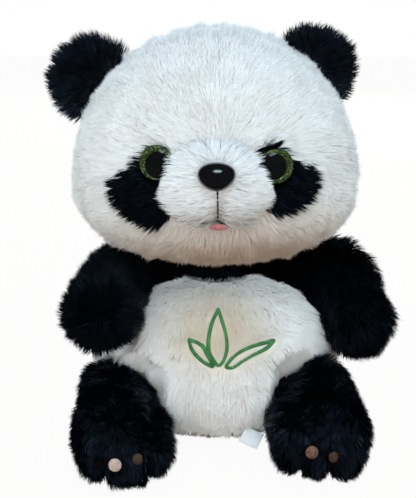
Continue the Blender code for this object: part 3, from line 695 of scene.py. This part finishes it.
EYES = {side: facing_matrix(*flat_frame(f"eye_iris_{side}", 2.0 * MM)) for side in ("left", "right")}
EYE_RADIUS = 11.5 * MM
PUPIL_RADIUS = 8.6 * MM
PUPIL_ASIDE = 2.2 * MM       # each pupil sits towards the nose, so the iris shows as a crescent
PUPIL_WAY = {"left": math.radians(185), "right": math.radians(-48)}
NOSE_PLACE = Vector((0, -108.7, 209)) * MM
NOSE_TILT = math.radians(24)
NOSE = facing_matrix(NOSE_PLACE, (0, -math.cos(NOSE_TILT), math.sin(NOSE_TILT)))
NOSE_RADII = (12.2, 9.4, 8.5)  # in mm
NOSE_LIFT = 1.2              # in mm
NOSE_TAPER = 0.14


def ring_points(matrix, radius, start, end, count, lift=0.0):
    """Points on a circle in a frame, between two angles in degrees from its X."""
    angles = [math.radians(start + (end - start) * i / (count - 1)) for i in range(count)]
    return [matrix @ Vector((radius * math.cos(a), radius * math.sin(a), lift)) for a in angles]


def smooth_line(knots, gap):
    """Points at even gaps along a Catmull-Rom curve through the knots, which are 3D."""
    knots = np.array(knots, float)
    padded = np.concatenate((2 * knots[:1] - knots[1:2], knots, 2 * knots[-1:] - knots[-2:-1]))
    found = []
    for a, b, c, d in zip(padded, padded[1:], padded[2:], padded[3:]):
        for t in np.linspace(0, 1, 24, endpoint=False)[:, None]:
            found.append((0.5 * (2 * b + (c - a) * t + (2 * a - 5 * b + 4 * c - d) * t**2
                                 + (3 * b - a - 3 * c + d) * t**3)).ravel())
    found = np.array(found + [padded[-2]])
    run = np.concatenate(([0], np.cumsum(np.linalg.norm(np.diff(found, axis=0), axis=1))))
    stops = np.linspace(0, run[-1], max(2, int(run[-1] / gap)))
    return np.column_stack([np.interp(stops, run, found[:, k]) for k in range(3)])


def on_surface(tree, outline, lift):
    """Points of a front-view outline, in millimetres, put on a surface, with the normals there."""
    places, normals = [], []
    for x, z in outline:
        place, normal, _, _ = tree.ray_cast(Vector((x * MM, -0.3, z * MM)), Vector((0, 1, 0)))
        places.append(place + normal * lift)
        normals.append(normal)
    return np.array(places), np.array(normals)


LEAVES = {
    "middle": ((1.8, 107.1), (-2.3, 99.8), (-4.7, 90.5), (-4.8, 81.3), (-1.6, 75), (1.9, 71), (5.3, 74.4),
               (7.7, 82), (7.2, 91), (4.3, 100.4)),
    "right": ((-18.6, 88.2), (-12.6, 86.3), (-8.2, 83.2), (-6.1, 79), (-3.2, 74), (-2.2, 70.4), (-7.8, 73),
              (-13, 77.2), (-17, 82.4)),
    "left": ((40.8, 85.4), (32.2, 84.4), (24, 83), (16.1, 79.5), (11.2, 75.8), (7.2, 70), (12, 69.3),
             (18.6, 73.5), (25.9, 77.3), (35.8, 81)),
}
LEAF_DROP = 3.4              # in mm, as the outlines are
LEAF_LINES = {}
for leaf, outline in LEAVES.items():
    curve = smooth_line([(x, 0, z) for x, z in [*outline, outline[0]]], 0.3)[:-1]
    LEAF_LINES[leaf] = [(x, z - LEAF_DROP) for x, _, z in curve]


# Skins

head = Skin("head", (0, -0.012, 0.190), 60,
            ["face_panel", "head_back_panel", "eye_patch_left", "eye_patch_right"], ["head_stuffing"])
muzzle = Skin("muzzle", (0, -0.084, 0.199), 24, ["muzzle_cover"], inset=2.6 * MM)
torso = Skin("torso", (0, 0, 0.060), 48, ["shoulder_yoke", "belly_panel", "back_panel", "seat_panel"],
             ["torso_stuffing"])


def raise_belly_seam():
    """Gives the belly the yoke's faces near it: 4 to 14 mm of them in front, the most at the toy's left."""
    x, y, _ = torso.points[torso.faces].mean(1).T
    belly = tree_of(*node_arrays("belly_panel"))
    to_belly = np.abs(nearest_distances(belly, torso.points[torso.faces].mean(1), 0.03))
    shift = 6 + 8 * smoothstep(0.005, 0.030, x) - 2 * smoothstep(0.008, 0.030, -x)
    shift += 3 * np.exp(-((x / 0.016) ** 2))
    shift *= smoothstep(-0.015, -0.03, y) * MM
    torso.panel[(torso.panel == 0) & (shift > 0) & (to_belly < np.hypot(shift, SEAM_DEPTH))] = 1


raise_belly_seam()
limbs = {}
for limb_name in ("arm_left", "arm_right", "leg_left", "leg_right"):
    low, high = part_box(limb_name + "_stuffing")
    limbs[limb_name] = Skin(limb_name, (low + high) / 2, 26, [limb_name + "_cover"],
                            [limb_name + "_stuffing"], inset=LIMB_INSET)
    for middle, push in LIMB_SHAPING.get(limb_name, ()):
        gaps = limbs[limb_name].points[:, [0, 2]] - np.array(middle) * MM
        share = np.exp(-(gaps**2).sum(1) / SHAPING_REACH**2)[:, None]
        limbs[limb_name].points += share * (np.array((push[0], 0, push[1])) * MM)
for limb_name in ("leg_left", "leg_right"):  # The belly fills the room that a flatter thigh leaves beside it
    plain = np.abs(nearest_distances(tree_of(*node_arrays(limb_name + "_cover")), torso.points, 0.02))
    thigh = limbs[limb_name].tree()
    for i in np.flatnonzero(plain < 0.016):
        place, _, _, gap = thigh.find_nearest(torso.points[i].tolist())
        fill = (gap - THIGH_GAP) * smoothstep(0.016, 0.006, plain[i])
        if fill > 0:
            torso.points[i] += unit(np.array(place) - torso.points[i]) * min(fill, 10 * MM)
ears = {}
for side in ("left", "right"):
    low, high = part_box("ear_stuffing_" + side)
    ears[side] = Skin("ear_" + side, (low + high) / 2, 22, ["ear_cover_" + side], ["ear_stuffing_" + side],
                      inset=1.0 * MM, relax=1)
    ears[side].points += np.array(EAR_SAG[side]) * MM
low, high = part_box("tail_stuffing")
tail = Skin("tail", (low + high) / 2, 12, ["tail_cover"], ["tail_stuffing"])
neck = Skin("neck", (0, -0.006, 0.131), 14, ["neck_cover"], ["neck_stuffing"], inset=2 * MM)

everything = [head, torso, *limbs.values(), *ears.values(), tail]
fill_with_stuffing(everything)

# The toes: creases in the front of each foot, with the outer toe a little fuller
TOE_CREASES = {"left": (0.058, 0.077), "right": (-0.0745, -0.045)}
for side, creases in TOE_CREASES.items():
    skin = limbs[f"leg_{side}"]
    x, y, z = skin.points.T
    at_front = smoothstep(y.min() + 0.032, y.min() + 0.014, y) * smoothstep(0.036, 0.024, z)
    depth = sum(np.exp(-(((x - crease) / 0.0028) ** 2)) for crease in creases) * 5 * MM
    swell = smoothstep(0.070, 0.090, x) * 4 * MM if side == "left" else smoothstep(-0.070, -0.088, x) * 2 * MM
    at_side = smoothstep(y.min() + 0.060, y.min() + 0.035, y) * smoothstep(0.050, 0.030, z)
    skin.shape_to(skin.points + skin.normals * (swell * at_side - depth * at_front)[:, None])


# Combing

BRIDGE = np.array((0, -0.098, 0.212))


def head_comb(root, normal):
    """Away from the bridge of the nose all round the face, and down the back."""
    behind = smoothstep(0.0, 0.05, root[:, 1])[:, None]
    return unit(root - BRIDGE) * (1 - behind) + np.array((0, 0.15, -1.0)) * behind


def muzzle_comb(root, normal):
    """Away from the nose, and to both sides of the line below it."""
    middle = np.full(len(root), 0.0008)
    height = np.clip(root[:, 2], 0.181, 0.207)
    return root - np.column_stack((middle, root[:, 1] + 0.002, height))


def belly_comb(root, normal):
    """Down, and a little outwards."""
    return root * (1, 0, 0) * 9 + np.array((0, 0.1, -1))


def yoke_comb(root, normal):
    """Sideways from the middle, upwards by the belly and down over the back."""
    side = np.clip(root[:, :1] / 0.01, -1, 1)
    front = smoothstep(0.2, -0.4, normal[:, 1:2])
    aside = side * np.array((1.0, 0, 0))
    return aside + np.array((0, 0.2, -0.7)) * (1 - front) + np.array((0, 0, 0.5)) * front


def neck_comb(root, normal):
    """Sideways from the front of the neck, and down."""
    return root * (1, 0, 0) * 40 + np.array((0, -0.3, -0.6))


def radial_comb(source):
    source = np.array(source, float)
    return lambda root, normal: root - source


def steady_comb(direction):
    direction = np.array(direction, float)
    return lambda root, normal: np.broadcast_to(direction, root.shape)


# Piles

def eye_rise(root, lean):
    """Fur that leans over an eye stands up round it."""
    more = np.zeros(len(root))
    for matrix in EYES.values():
        gap = np.array(matrix.translation) - root
        distance = np.linalg.norm(gap, axis=1)
        toward = (gap * lean).sum(1) / np.maximum(distance, 1e-9)
        more += smoothstep(0.024, 0.014, distance) * smoothstep(-0.2, 0.6, toward) * math.radians(42)
    return more


face_pile = Fur(2.5, 11.5 * MM, 0.48 * MM, (62, 7), 5 * MM, 0.2, 0.25, 0.11, 0.94, rise=eye_rise,
                coarse=(0.20, 0.205, 0.165))
back_pile = Fur(1.4, 11.5 * MM, 0.72 * MM, (60, 6), 5 * MM, 0.2, 0.3, 0.13, 0.94)
muzzle_pile = Fur(2.8, 11.5 * MM, 0.46 * MM, (66, 26), 3.5 * MM, 0.5, 0.12, 0.15, 0.85)
patch_pile = Fur(2.2, 10.5 * MM, 0.58 * MM, (66, 26), 4.5 * MM, 0.5, 0.3, 0.25, 0.2, rise=eye_rise)
belly_pile = Fur(2.8, 9.5 * MM, 0.46 * MM, (54, 6), 5 * MM, 0.26, 0.35, 0.12, 0.95, 0.1,
                 coarse=(0.20, 0.070, 0.040))
arm_pile = Fur(1.9, 13.0 * MM, 0.58 * MM, (70, 34), 5 * MM, 0.5, 0.5, 0.3, 0.15, 0.08)
yoke_pile = Fur(1.6, 13.0 * MM, 0.62 * MM, (74, 40), 5 * MM, 0.5, 0.5, 0.3, 0.2, 0.08)
leg_pile = Fur(1.9, 10.5 * MM, 0.56 * MM, (66, 28), 5 * MM, 0.5, 0.5, 0.3, 0.15, 0.08)
ear_pile = Fur(2.4, 12.0 * MM, 0.55 * MM, (74, 50), 4 * MM, 0.4, 0.35, 0.25, 0.15)
neck_pile = Fur(1.2, 8.5 * MM, 0.75 * MM, (62, 20), 5 * MM, 0.4, 0.3, 0.3, 0.3)
seat_pile = Fur(0.5, 7 * MM, 1.0 * MM, (40, 12), 5 * MM, 0.4, 0.3, 0.3, 0.5)
tail_pile = Fur(1.6, 10.0 * MM, 0.65 * MM, (64, 16), 4.5 * MM, 0.3, 0.3, 0.18, 0.85)

head_tree, torso_tree = head.tree(), torso.tree()
limb_trees = {name: skin.tree() for name, skin in limbs.items()}

eye_places, eye_radii = [], []
for side, matrix in EYES.items():
    turn = 1 if side == "left" else -1
    start, end = (-100, 100) if side == "left" else (75, 280)
    eye_places += ring_points(matrix, EYE_RADIUS - 1 * MM, start, end, 30, 1.5 * MM)
    eye_radii += [1.6 * MM] * 30
eye_limit = all_limits(
    keep_off(eye_places, np.array(eye_radii), 0.9),
    keep_off([matrix.translation for matrix in EYES.values()], 12 * MM, 4, 2 * MM))
nose_limit = keep_off(ring_points(NOSE, 9.5 * MM, 0, 350, 36), 2.2 * MM, 1.1, 0.8 * MM)
nose_hole = keep_off([NOSE.translation], 9.0 * MM, 9, 0)
mouth_places = smooth_line(node_arrays("tongue")[0][::12], 1 * MM)
mouth_limit = keep_off(mouth_places, 1.5 * MM, 1.0, 1.0 * MM)
philtrum_points = node_arrays("philtrum_stitch")[0]
philtrum_limit = keep_off(philtrum_points[::20], 0.4 * MM, 1.6, 2.2 * MM)
leaf_points = np.concatenate([on_surface(torso_tree, outline, 0.5 * MM)[0]
                              for outline in LEAF_LINES.values()])
leaf_limit = keep_off(leaf_points[::4], 1.3 * MM, 0.8, 1.8 * MM, 1.0)
seam_trees = [tree_of(torso.points, torso.faces[torso.panel == number]) for number in (0, 1)]
by_yoke, by_belly = short_by(seam_trees[0], 3.5 * MM, 0.6), short_by(seam_trees[1], 5 * MM, 0.8)
label_limit = keep_off([np.array(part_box("label")).mean(0)], 5 * MM, 1.2, 1 * MM)
MUZZLE_RIM = [(0.034 * math.cos(a), -0.088, 0.198 + 0.027 * math.sin(a)) for a in np.linspace(3.4, 6.0, 40)]
muzzle_crease = keep_off(MUZZLE_RIM, 1 * MM, 0.8, 3.5 * MM, 0.5)
under_muzzle = keep_off([(x * MM, -0.092, 0.199) for x in (-12, -6, 0, 6, 12)], 18 * MM, 9, 0, 0)


def toe_limit(side):
    """Shorter pile in the creases between the toes."""
    tree = limb_trees[f"leg_{side}"]
    places = []
    for x in TOE_CREASES[side]:
        for z in range(4, 30, 3):
            place, _, _, _ = tree.ray_cast(Vector((x, -0.3, z * MM)), Vector((0, 1, 0)))
            if place is not None:
                places.append(place)
    return keep_off(places, 0.5 * MM, 0.8, 3.5 * MM, 1.0)


def nail_limit(side):
    """Short pile round the first toe pad of a foot. The second is half hidden."""
    first, second = [np.array(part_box(f"nail_{side}_{k}")).mean(0) + (0, 0, NAIL_RISE.get((side, k), 0))
                     for k in (1, 2)]
    return all_limits(keep_off([first], 4.4 * MM, 0.9, 1.2 * MM), keep_off([second], 1 * MM, 1.1, 8 * MM, 0))


def panel_faces(skin, *numbers):
    """The faces of some of a skin's panels, leaving out any that the frame doesn't reach."""
    whole = ~skin.missed[skin.faces].any(1)
    return np.flatnonzero(np.isin(skin.panel, numbers) & whole)


def sectors(skin, chosen, centre, axes, count):
    """The chosen faces in some equal parts round a centre, by their angle in the plane of two axes."""
    middles = skin.points[skin.faces[chosen]].mean(1) - np.array(centre)
    angle = np.arctan2(middles[:, axes[1]], middles[:, axes[0]])
    order = np.argsort(angle, kind="stable")
    return [chosen[np.sort(part)] for part in np.array_split(order, count)]


# Fur of the head
face_limit = all_limits(eye_limit, mouth_limit, under_muzzle, muzzle_crease)
on_torso = [(torso_tree, 1 * MM)]
face_parts = sectors(head, panel_faces(head, 0), BRIDGE, (0, 2), 4)
fur_pieces("face_fur", head, face_parts, face_pile, head_comb, face_limit, on_torso, face_fur, "head",
           ["face_panel", "head_stuffing"], 1)
back_parts = sectors(head, panel_faces(head, 1), (0, 0, 0.19), (0, 2), 2)
fur_pieces("head_back_fur", head, back_parts, back_pile, head_comb, no_limit, on_torso, white_fur, "head",
           ["head_back_panel"], 2)
for number, side in ((2, "left"), (3, "right")):
    fur_pieces(f"patch_fur_{side}", head, [panel_faces(head, number)], patch_pile, head_comb, face_limit,
               on_torso, black_fur, "head", [f"eye_patch_{side}"], 1 + number)
lip_limit = keep_off(mouth_places, 0.5 * MM, 0.9, 3.5 * MM)
muzzle_limit = all_limits(nose_limit, nose_hole, philtrum_limit, lip_limit, eye_limit)
fur_pieces("muzzle_fur", muzzle, [panel_faces(muzzle, 0)], muzzle_pile, muzzle_comb, muzzle_limit,
           [(head_tree, 0.5 * MM)], muzzle_fur, "head", ["muzzle_cover", "muzzle_stuffing", "nose_washer"], 5)
for number, (side, skin) in enumerate(ears.items()):
    middle = np.array(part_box(f"ear_cover_{side}")).mean(0)
    outward = unit(middle * (1, 0, 1) - np.array((0, 0, 0.190)))
    whorl = middle - outward * 0.026
    fur_pieces(f"ear_fur_{side}", skin, [panel_faces(skin, 0)], ear_pile, radial_comb(whorl), no_limit,
               [(head_tree, 1.5 * MM)], glossy_fur_painted_highlights, f"ear_{side}",
               [f"ear_cover_{side}", f"ear_stuffing_{side}"], 6 + number)
fur_pieces("neck_fur", neck, [panel_faces(neck, 0)], neck_pile, neck_comb, no_limit, [(head_tree, 0.5 * MM)],
           black_fur, "neck", ["neck_cover", "neck_stuffing"], 8)

# Fur of the torso
beside = [(tree, 1.0 * MM) for tree in limb_trees.values()] + [(head_tree, 0.5 * MM)]
belly_parts = sectors(torso, panel_faces(torso, 1), (0, 0, 0.065), (0, 2), 3)
fur_pieces("belly_fur", torso, belly_parts, belly_pile, belly_comb,
           all_limits(leaf_limit, label_limit, by_yoke), beside, belly_fur, "torso",
           ["belly_panel", "torso_stuffing", "pellet_bag"], 10)
fur_pieces("back_fur", torso, [panel_faces(torso, 2)], back_pile, steady_comb((0, 0.1, -1)), no_limit, beside,
           white_fur, "torso", ["back_panel"], 11)
fur_pieces("yoke_fur", torso, [panel_faces(torso, 0)], yoke_pile, yoke_comb, by_belly, beside, black_fur,
           "torso", ["shoulder_yoke"], 12)
fur_pieces("seat_fur", torso, [panel_faces(torso, 3)], seat_pile, radial_comb((0, 0, 0.02)), label_limit,
           beside, white_fur, "torso", ["seat_panel"], 13)

# Fur of the limbs and tail
combs = {
    "arm_left": steady_comb((0.35, -0.25, -1.0)),
    "arm_right": radial_comb((-0.079, -0.089, 0.106)),  # a whorl on the paw that is held forward
    "leg_left": radial_comb((0.066, -0.035, 0.075)),
    "leg_right": radial_comb((-0.066, -0.035, 0.075)),
}
for number, (name, skin) in enumerate(limbs.items()):
    part, side = name.split("_")
    if part == "leg":
        pile, material, limit = leg_pile, glossy_fur_painted_highlights, all_limits(nail_limit(side), toe_limit(side))
    else:
        pile, material, limit = arm_pile, black_fur, no_limit
    fur_pieces(f"{name}_fur", skin, [panel_faces(skin, 0)], pile, combs[name], limit,
               [(torso_tree, 1.5 * MM)], material, name, [f"{name}_cover", f"{name}_stuffing"], 14 + number)
fur_pieces("tail_fur", tail, [panel_faces(tail, 0)], tail_pile, radial_comb((0, 0.066, 0.040)), no_limit,
           [(torso_tree, 1.5 * MM)], white_fur, "tail", ["tail_cover", "tail_stuffing"], 18)


# Details

def small_piece(name, points, faces, material, body, *stands_for):
    """A finely made piece from points and faces of any number of corners."""
    mesh = bpy.data.meshes.new(name)
    mesh.from_pydata([tuple(p) for p in points], [], faces)
    mesh.shade_smooth()
    mesh.update()
    add_piece(mesh, material, body, stands_for)


def placed_by(matrix):
    """A function that takes an array of points from a frame to the toy."""
    matrix = np.array(matrix)
    return lambda points: points @ matrix[:3, :3].T + matrix[:3, 3]


def turned(name, profile, closed, place, material, body, *stands_for, segments=72):
    """A turned piece: (radius, height) pairs, from low to high on its outside, round Z.

    A pair can be followed by the x and y that its circle is moved by. place puts the points in the toy.
    """
    angles = 2 * math.pi * np.arange(segments) / segments
    circle = np.column_stack((np.cos(angles), np.sin(angles), np.zeros(segments)))
    points, rows, faces = [], [], []
    for radius, height, *aside in profile:
        count = segments if radius else 1
        rows.append(range(len(points), len(points) + count))
        points.extend(circle[:count] * radius + (*(aside or (0, 0)), height))
    for one, two in zip(rows, rows[1:] + (rows[:1] if closed else [])):
        for k in range(segments):
            n = k + 1
            ring = [one[k % len(one)], one[n % len(one)], two[n % len(two)], two[k % len(two)]]
            face = [v for i, v in enumerate(ring) if v != ring[i - 1]]
            if len(face) > 2:
                faces.append(face)
    small_piece(name, place(np.array(points)), faces, material, body, *stands_for)


def ball_profile(reach, rows):
    """A unit ball's profile, up to its top from an angle below it."""
    polar = reach * np.arange(rows, -1, -1) / rows
    return list(zip(np.sin(polar).round(9), np.cos(polar)))


def rounded(profile, radius, steps=3):
    """A profile with its inner corners turned to small arcs."""
    found = [profile[0]]
    for before, corner, after in zip(profile, profile[1:], profile[2:]):
        a, c, b = Vector(before), Vector(corner), Vector(after)
        cut = min(radius, (a - c).length / 2, (b - c).length / 2)
        start, end = c + (a - c).normalized() * cut, c + (b - c).normalized() * cut
        for i in range(steps + 1):
            t = i / steps
            found.append(tuple(start * (1 - t) ** 2 + c * 2 * t * (1 - t) + end * t**2))
    return found + [profile[-1]]


def build_eye(side, matrix):
    """A black back with a raised pupil, a glitter ring round it, and a clear dome."""
    place = placed_by(matrix)
    plate, pupil, bulge = 1.4 * MM, 2.3 * MM, 4.8 * MM
    aside = (PUPIL_ASIDE * math.cos(PUPIL_WAY[side]), PUPIL_ASIDE * math.sin(PUPIL_WAY[side]))
    stem, rim, foot = 2.2 * MM, -0.5 * MM, -9 * MM
    back = [(0, foot, 0, 0), (stem, foot, 0, 0), (stem, rim, 0, 0), (EYE_RADIUS, rim, 0, 0),
            (EYE_RADIUS, plate, 0, 0), (PUPIL_RADIUS, plate, *aside), (PUPIL_RADIUS, pupil, *aside),
            (0, pupil, *aside)]
    turned(f"eye_back_{side}", rounded(back, 0.3 * MM), False, place, eye_plastic, "head",
           f"eye_stem_{side}", f"eye_washer_{side}")
    inner, outer = PUPIL_RADIUS + 0.1 * MM, EYE_RADIUS - 0.3 * MM
    band = [(outer, plate), (outer, pupil - 0.3 * MM), (inner, pupil + 0.15 * MM, *aside),
            (inner, plate, *aside)]
    turned(f"eye_ring_{side}", band, True, place, iris_glitter, "head", f"eye_iris_{side}")
    dome = [(EYE_RADIUS * r, pupil + 0.3 * MM + bulge * h) for r, h in ball_profile(math.pi / 2, 16)]
    turned(f"eye_lens_{side}", [(EYE_RADIUS, plate)] + dome, False, place, clear_plastic, "head",
           f"eye_dome_{side}")


def build_nose():
    """A flattened button, wider above than below."""

    def place(points):
        points = points.copy()
        points[:, 0] *= 1 + NOSE_TAPER * points[:, 1]
        return placed_by(NOSE)((points * NOSE_RADII + (0, 0, NOSE_LIFT)) * MM)

    profile = ball_profile(math.pi * 0.56, 28)
    turned("nose_button", [(0, profile[0][1])] + profile, False, place, nose_plastic, "head", "nose",
           segments=56)


for side, matrix in EYES.items():
    build_eye(side, matrix)
build_nose()


def cord(name, line, outward, widths, heights, material, body, *stands_for, sides=8, closed=False):
    """A flattened cord along a line. Widths and heights are per point."""
    count = len(line)
    step = np.roll(line, -1, 0) - np.roll(line, 1, 0) if closed else np.gradient(line, axis=0)
    heading = unit(step)
    up = unit(along(outward, heading))
    across = np.cross(heading, up)
    points = []
    for k in range(sides):
        a = 2 * math.pi * k / sides
        aside = across * (math.cos(a) * widths / 2)[:, None]
        points.append(line + aside + up * (math.sin(a) * heights / 2)[:, None])
    points = np.array(points).transpose(1, 0, 2).reshape(-1, 3)
    faces = []
    for i in range(count if closed else count - 1):
        j = (i + 1) % count
        for k in range(sides):
            n = (k + 1) % sides
            faces.append((i * sides + k, i * sides + n, j * sides + n, j * sides + k))
    if not closed:
        faces.append(list(range(sides))[::-1])
        faces.append(list(range((count - 1) * sides, count * sides)))
    small_piece(name, points, faces, material, body, *stands_for)


for side, outline in LEAF_LINES.items():
    places, normals = on_surface(torso_tree, outline, 0.8 * MM)
    beat = np.sin(np.arange(len(places)) * 2 * math.pi / 3.0)
    drift = wave_field(places, 0.02, np.random.default_rng(5))
    widths = (2.5 + 0.18 * beat + 0.25 * drift) * MM
    heights = (1.9 + 0.25 * beat) * MM
    cord(f"leaf_stitch_{side}", places, normals, widths, heights, green_thread, "torso", f"leaf_{side}",
         sides=10, closed=True)

muzzle_cover_tree = tree_of(*node_arrays("muzzle_cover"))
philtrum = smooth_line([(0.6 + 0.04 * i, 0, 200 - 2.3 * i) for i in range(9)], 0.4)
places, normals = on_surface(muzzle_cover_tree, philtrum[:, ::2], 0.4 * MM)
beat = np.abs(np.sin(np.arange(len(places)) * math.pi / 6.5)) ** 0.5
cord("philtrum_thread", places, normals, (0.2 + 1.3 * beat) * MM, (0.3 + 1.4 * beat) * MM, black_thread,
     "head", "philtrum_stitch")
lips = smooth_line([(x, 0, z) for x, z in ((-9.5, 176.6), (-6, 177), (-2.6, 178.4), (1, 179.8), (3.4, 178.2),
                                           (6.6, 177.2), (10, 176.8))], 0.4)
places, normals = on_surface(muzzle_cover_tree, lips[:, ::2], 0.6 * MM)
beat = np.sin(np.arange(len(places)) * 2 * math.pi / 4)
cord("lip_thread", places, normals, (1.3 + 0.15 * beat) * MM, (1.3 + 0.15 * beat) * MM, black_thread, "head",
     "lip_stitch")


def pad(name, centre, turn, radii, material, body, stands_for, rough=0.012):
    """A small padded oval of cloth, with the nap's unevenness in its surface."""

    def place(points):
        points = points * np.array(radii)
        rng = np.random.default_rng(len(name))
        points *= (1 + rough * wave_field(points, 1.2 * MM, rng))[:, None]
        return points @ np.array(turn).T + np.array(centre)

    turned(name, ball_profile(math.pi, 20), False, place, material, body, stands_for, segments=40)


def solid_axes(node):
    """A small node's middle, and the rotation whose Z is its thinnest way, out of the toy."""
    points, _ = node_arrays(node)
    middle = (points.min(0) + points.max(0)) / 2
    axis = np.linalg.svd(points - middle, full_matrices=False)[2][2]
    axis = Vector(axis if axis[1] < 0 else -axis)
    return Vector(middle), facing_matrix((0, 0, 0), axis).to_3x3()


for side in ("left", "right"):
    for number in (1, 2):
        node = f"nail_{side}_{number}"
        middle, turn = solid_axes(node)
        # The second pads take the darker suede: painted shade under the pile over them.
        cloth = brown_suede_painted_shade if number == 2 else pink_suede if side == "right" else brown_suede
        radii = (3.5 * MM, 4.2 * MM, 2.0 * MM) if number == 2 else (4.3 * MM, 4.9 * MM, 2.0 * MM)
        middle += turn @ Vector((0, NAIL_RISE.get((side, number), 0), -0.6 * MM))
        pad(node.replace("nail", "toenail"), middle, turn, radii, cloth, f"leg_{side}", node)
tongue_turn = Matrix.Rotation(math.radians(38), 3, "X")
pad("tongue_felt", Vector((1.5, -101.2, 174.4)) * MM, tongue_turn, (6.3 * MM, 1.2 * MM, 3.0 * MM), pink_felt,
    "head", "tongue")


def build_label():
    """A blank folded satin strip, a little curled, with a hem by its fold."""
    low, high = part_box("label")
    hinge = Vector(((low.x + high.x) / 2 + 4.0 * MM, high.y + 0.5 * MM, high.z + 2.4 * MM))
    dip = Matrix.Rotation(math.radians(45), 3, "X") @ Matrix.Rotation(math.radians(-27), 3, "Z")
    across, down = 16, 24
    row, sheet = across + 1, (across + 1) * (down + 1)
    points, faces = [], []
    for face in (1, -1):
        for j in range(down + 1):
            for i in range(row):
                u, v = i / across - 0.5, j / down
                curl = 0.7 * math.sin(math.pi * v) + 0.5 * (u * 2) ** 2
                hem = 0.5 * math.exp(-((v - 0.94) / 0.03) ** 2)
                edge = 1 if 0 < j < down and 0 < i < across else 0.4
                thick = 0.28 * face * (1 + hem) * edge
                place = (u * (high.x - low.x), -(0.2 + 12.5 * v) * MM, (thick + curl - 0.4) * MM)
                points.append(hinge + dip @ Vector(place))
    for j in range(down):
        for i in range(across):
            a = j * row + i
            faces.append((a, a + row, a + row + 1, a + 1))
            faces.append([v + sheet for v in (a, a + 1, a + row + 1, a + row)])
    rim = [*range(row), *range(across + row, sheet, row), *range(sheet - 2, down * row - 1, -1),
           *range((down - 1) * row, 0, -row)]
    for a, b in zip(rim, rim[1:] + rim[:1]):
        faces.append((a, b, b + sheet, a + sheet))
    small_piece("label_strip", points, faces, label_satin, "label", "label")


build_label()


# Stage, light and camera

SKY = [(0.30, (0.20, 0.13, 0.09)), (0.5, (0.50, 0.50, 0.50)), (0.9, (0.50, 0.60, 0.70))]
MIRRORED_SKY = (0.02, 0.02, 0.024)
SOFTBOX_BLUE, SIDE_BLUE = (0.66, 0.86, 1.0), (0.76, 0.90, 1.0)
LIGHTS = {  # place, target, size, power, colour. Only the softbox shows in shiny surfaces
    "softbox": ((0.1, -0.9, 1.35), (0, -0.02, 0.15), (0.8, 0.5), 5.0, SOFTBOX_BLUE),
    "front_fill": ((0.1, -1.7, 0.72), (0, 0, 0.12), (2.6, 0.8), 10, (0.64, 0.85, 1.0)),
    "left_fill": ((-1.5, -0.9, 0.50), (-0.05, 0, 0.12), (1.0, 1.0), 11, SIDE_BLUE),
    "right_fill": ((1.5, -0.8, 0.8), (0.05, 0, 0.16), (1.0, 1.0), 8, SOFTBOX_BLUE),
    "low_fill": ((0, -1.3, 0.10), (0, 0, 0.07), (1.2, 0.16), 4.8, (1.0, 0.84, 0.70)),
    "back_fill": ((0.3, 1.8, 0.9), (0, 0, 0.14), (1.6, 1.2), 26, (0.72, 0.88, 1.0)),
}


def area_light(name, place, target, size, power, colour):
    light = bpy.data.lights.new(name, "AREA")
    light.shape = "ELLIPSE"
    light.size, light.size_y = size
    light.energy = power
    light.color = colour
    obj = bpy.data.objects.new(name, light)
    obj.location = place
    obj.rotation_euler = (Vector(target) - Vector(place)).to_track_quat("-Z", "Y").to_euler()
    obj.visible_glossy = name == "softbox"
    bpy.context.scene.collection.objects.link(obj)
    obj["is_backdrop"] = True


def build_floor():
    """Pale paper that looks nearly white, but throws only a warm dim light on the toy."""
    mesh = bpy.data.meshes.new("floor")
    mesh.from_pydata([(-3, -3, 0), (3, -3, 0), (3, 3, 0), (-3, 3, 0)], [], [(0, 1, 2, 3)])
    floor = bpy.data.objects.new("floor", mesh)
    bpy.context.scene.collection.objects.link(floor)
    material, tree, surface = new_material("floor_paper")
    fill_inputs(surface, Base_Color=(0.34, 0.26, 0.20), Roughness=0.9)
    rays = new_node(tree, "LightPath").outputs
    share = ramp(tree, rays["Is Camera Ray"], [(0, (0, 0, 0)), (1, (0.88, 0.88, 0.88))])
    share = mixed(tree, rays["Is Glossy Ray"], share, (0.95, 0.95, 0.95))
    bright = ramp(tree, rays["Is Camera Ray"], [(0, (0.02, 0.02, 0.02)), (1, WHITE)])
    glow = new_node(tree, "Emission", Strength=1.08, Color=bright)
    mix_shaders(tree, share, surface.outputs["BSDF"], glow.outputs["Emission"])
    mesh.materials.append(material)
    floor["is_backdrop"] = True


def build_sky():
    """Warm from below and blue from above, white to the camera and dark in shiny surfaces."""
    world = bpy.data.worlds.new("studio")
    bpy.context.scene.world = world
    world.use_nodes = True
    tree = world.node_tree
    way = new_node(tree, "TexCoord").outputs["Generated"]
    height = new_node(tree, "SeparateXYZ", Vector=way).outputs["Z"]
    spread = new_node(tree, "MapRange", From_Min=-1, Value=height)
    rays = new_node(tree, "LightPath").outputs
    sky = mixed(tree, rays["Is Glossy Ray"], ramp(tree, spread.outputs["Result"], SKY), MIRRORED_SKY)
    sky = mixed(tree, rays["Is Camera Ray"], sky, WHITE)
    fill_inputs(tree.nodes["Background"], Color=sky, Strength=1.0)


build_floor()
build_sky()
for name, light in LIGHTS.items():
    area_light(name, *light)

camera = bpy.data.objects.new("camera", bpy.data.cameras.new("camera"))
bpy.context.scene.collection.objects.link(camera)
tilt = math.radians(15)
view = Vector((0, math.cos(tilt), -math.sin(tilt)))
upright = Vector((0, math.sin(tilt), math.cos(tilt)))
aim = Vector((-0.0054, -0.030, 0.150)) - upright * 0.0089
camera.location = aim - view * 0.800
camera.rotation_euler = (math.pi / 2 - tilt, 0, 0)
camera.data.lens = 80.8
camera.data.sensor_width = 36
bpy.context.scene.camera = camera
bpy.context.scene.view_settings.view_transform = "Standard"

low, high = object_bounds()
